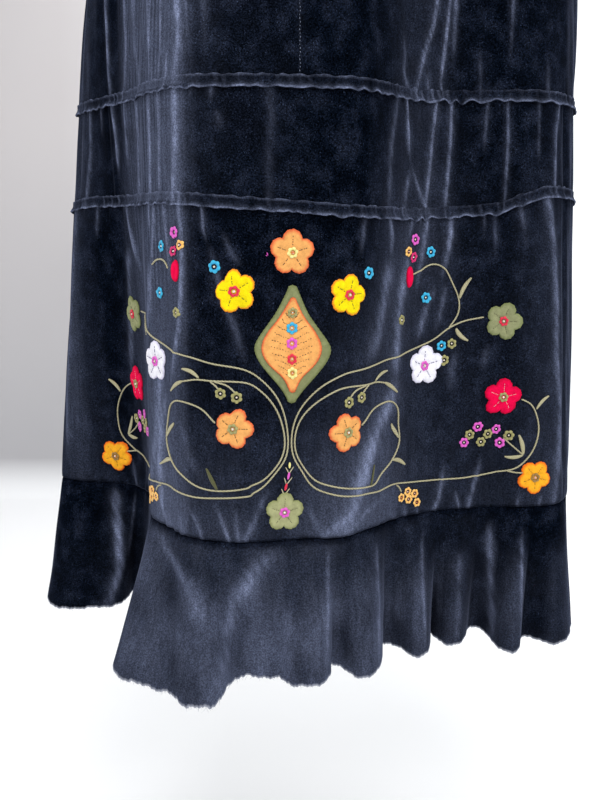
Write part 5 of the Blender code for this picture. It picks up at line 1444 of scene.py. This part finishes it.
spine = (root[:, None] + ahead[:, None] * (lean[:, None] * s + curl[:, None] * s**2)[..., None] * length[:, None, None]
         + aside[:, None] * (seed.normal(0, fray["aside"], fray["count"])[:, None] * s)[..., None]
         * length[:, None, None]
         - np.array([0, 0, 1.0]) * (s[None] * length[:, None])[..., None])
angle = 2 * np.pi * np.arange(3) / 3
ringOffset = (ahead[:, None, None] * np.cos(angle)[None, None, :, None]
              + aside[:, None, None] * np.sin(angle)[None, None, :, None])
taper = (fray["thick"] * (1 - 0.6 * np.clip(s, 0, 1)))[None, :, None, None]
points = (spine[:, :, None] + ringOffset * taper).reshape(-1, 3)
one = gridFaces(5, 3, round=True)
caps = np.array([[0, 2, 1], [12, 13, 14]])
starts = (np.arange(fray["count"]) * 15)[:, None, None]
faces = [(one[None] + starts).reshape(-1, 4), (caps[None] + starts).reshape(-1, 3)]
hemThreads = settle(putMesh("hem_threads", points, faces, [threads["fray"]], {"ply": seed.random(len(points))}))
print("hem frayed")

# Stage: pale paper that sweeps up behind, a broad soft light above the camera and weaker ones at the sides
studio = {
    "floor": -1.25, "wall": 1.59, "cove": 0.10, "top": 3.5, "reach": 4.0,
    "key": 27.0, "left": 6.0, "right": 5.0, "floorLight": 14.0, "air": 0.7,
}
bend = np.linspace(0, np.pi / 2, 9)[:, None]
cove = (studio["wall"], studio["floor"]) + studio["cove"] * np.hstack([np.sin(bend) - 1, 1 - np.cos(bend)])
profile = np.vstack([(-studio["reach"], studio["floor"]), cove, (studio["wall"], studio["top"])])
wide = np.array([-studio["reach"], studio["reach"]])
grid = np.stack([np.broadcast_to(wide[None], (len(profile), 2)), np.broadcast_to(profile[:, 0:1], (len(profile), 2)),
                 np.broadcast_to(profile[:, 1:2], (len(profile), 2))], -1) / mm
backdrop = putMesh("backdrop", grid.reshape(-1, 3), [gridFaces(len(profile), 2)[:, ::-1]], [paper])
for name, place, aim, size, power in (
    ("keyLight", (0.15, -1.5, 0.9), (0.0, 0.0, -0.6), 1.4, studio["key"]),
    ("leftLight", (-1.9, -0.6, -0.1), (0.0, 0.0, -0.5), 1.2, studio["left"]),
    ("rightLight", (1.9, -0.7, 0.0), (0.0, 0.0, -0.5), 1.2, studio["right"]),
    ("floorLight", (0.2, 1.1, 0.3), (0.15, 0.9, -1.25), 1.8, studio["floorLight"]),
):
    data = bpy.data.lights.new(name, "AREA")
    data.size, data.energy = size, power
    lamp = bpy.data.objects.new(name, data)
    lamp.location = place
    toward = np.array(aim) - np.array(place)
    flatRun = math.hypot(toward[0], toward[1])
    heading = math.atan2(toward[1], toward[0]) - math.pi / 2
    lamp.rotation_euler = (math.pi / 2 + math.atan2(toward[2], flatRun), 0, heading)
    bpy.context.scene.collection.objects.link(lamp)
world = bpy.data.worlds.new("softAir")
world.use_nodes = True
setSockets(world.node_tree.nodes["Background"], {"Color": (0.93, 0.96, 1.0, 1.0), "Strength": studio["air"]})
bpy.context.scene.world = world
bpy.context.scene.view_settings.view_transform = "Standard"
print("stage set")
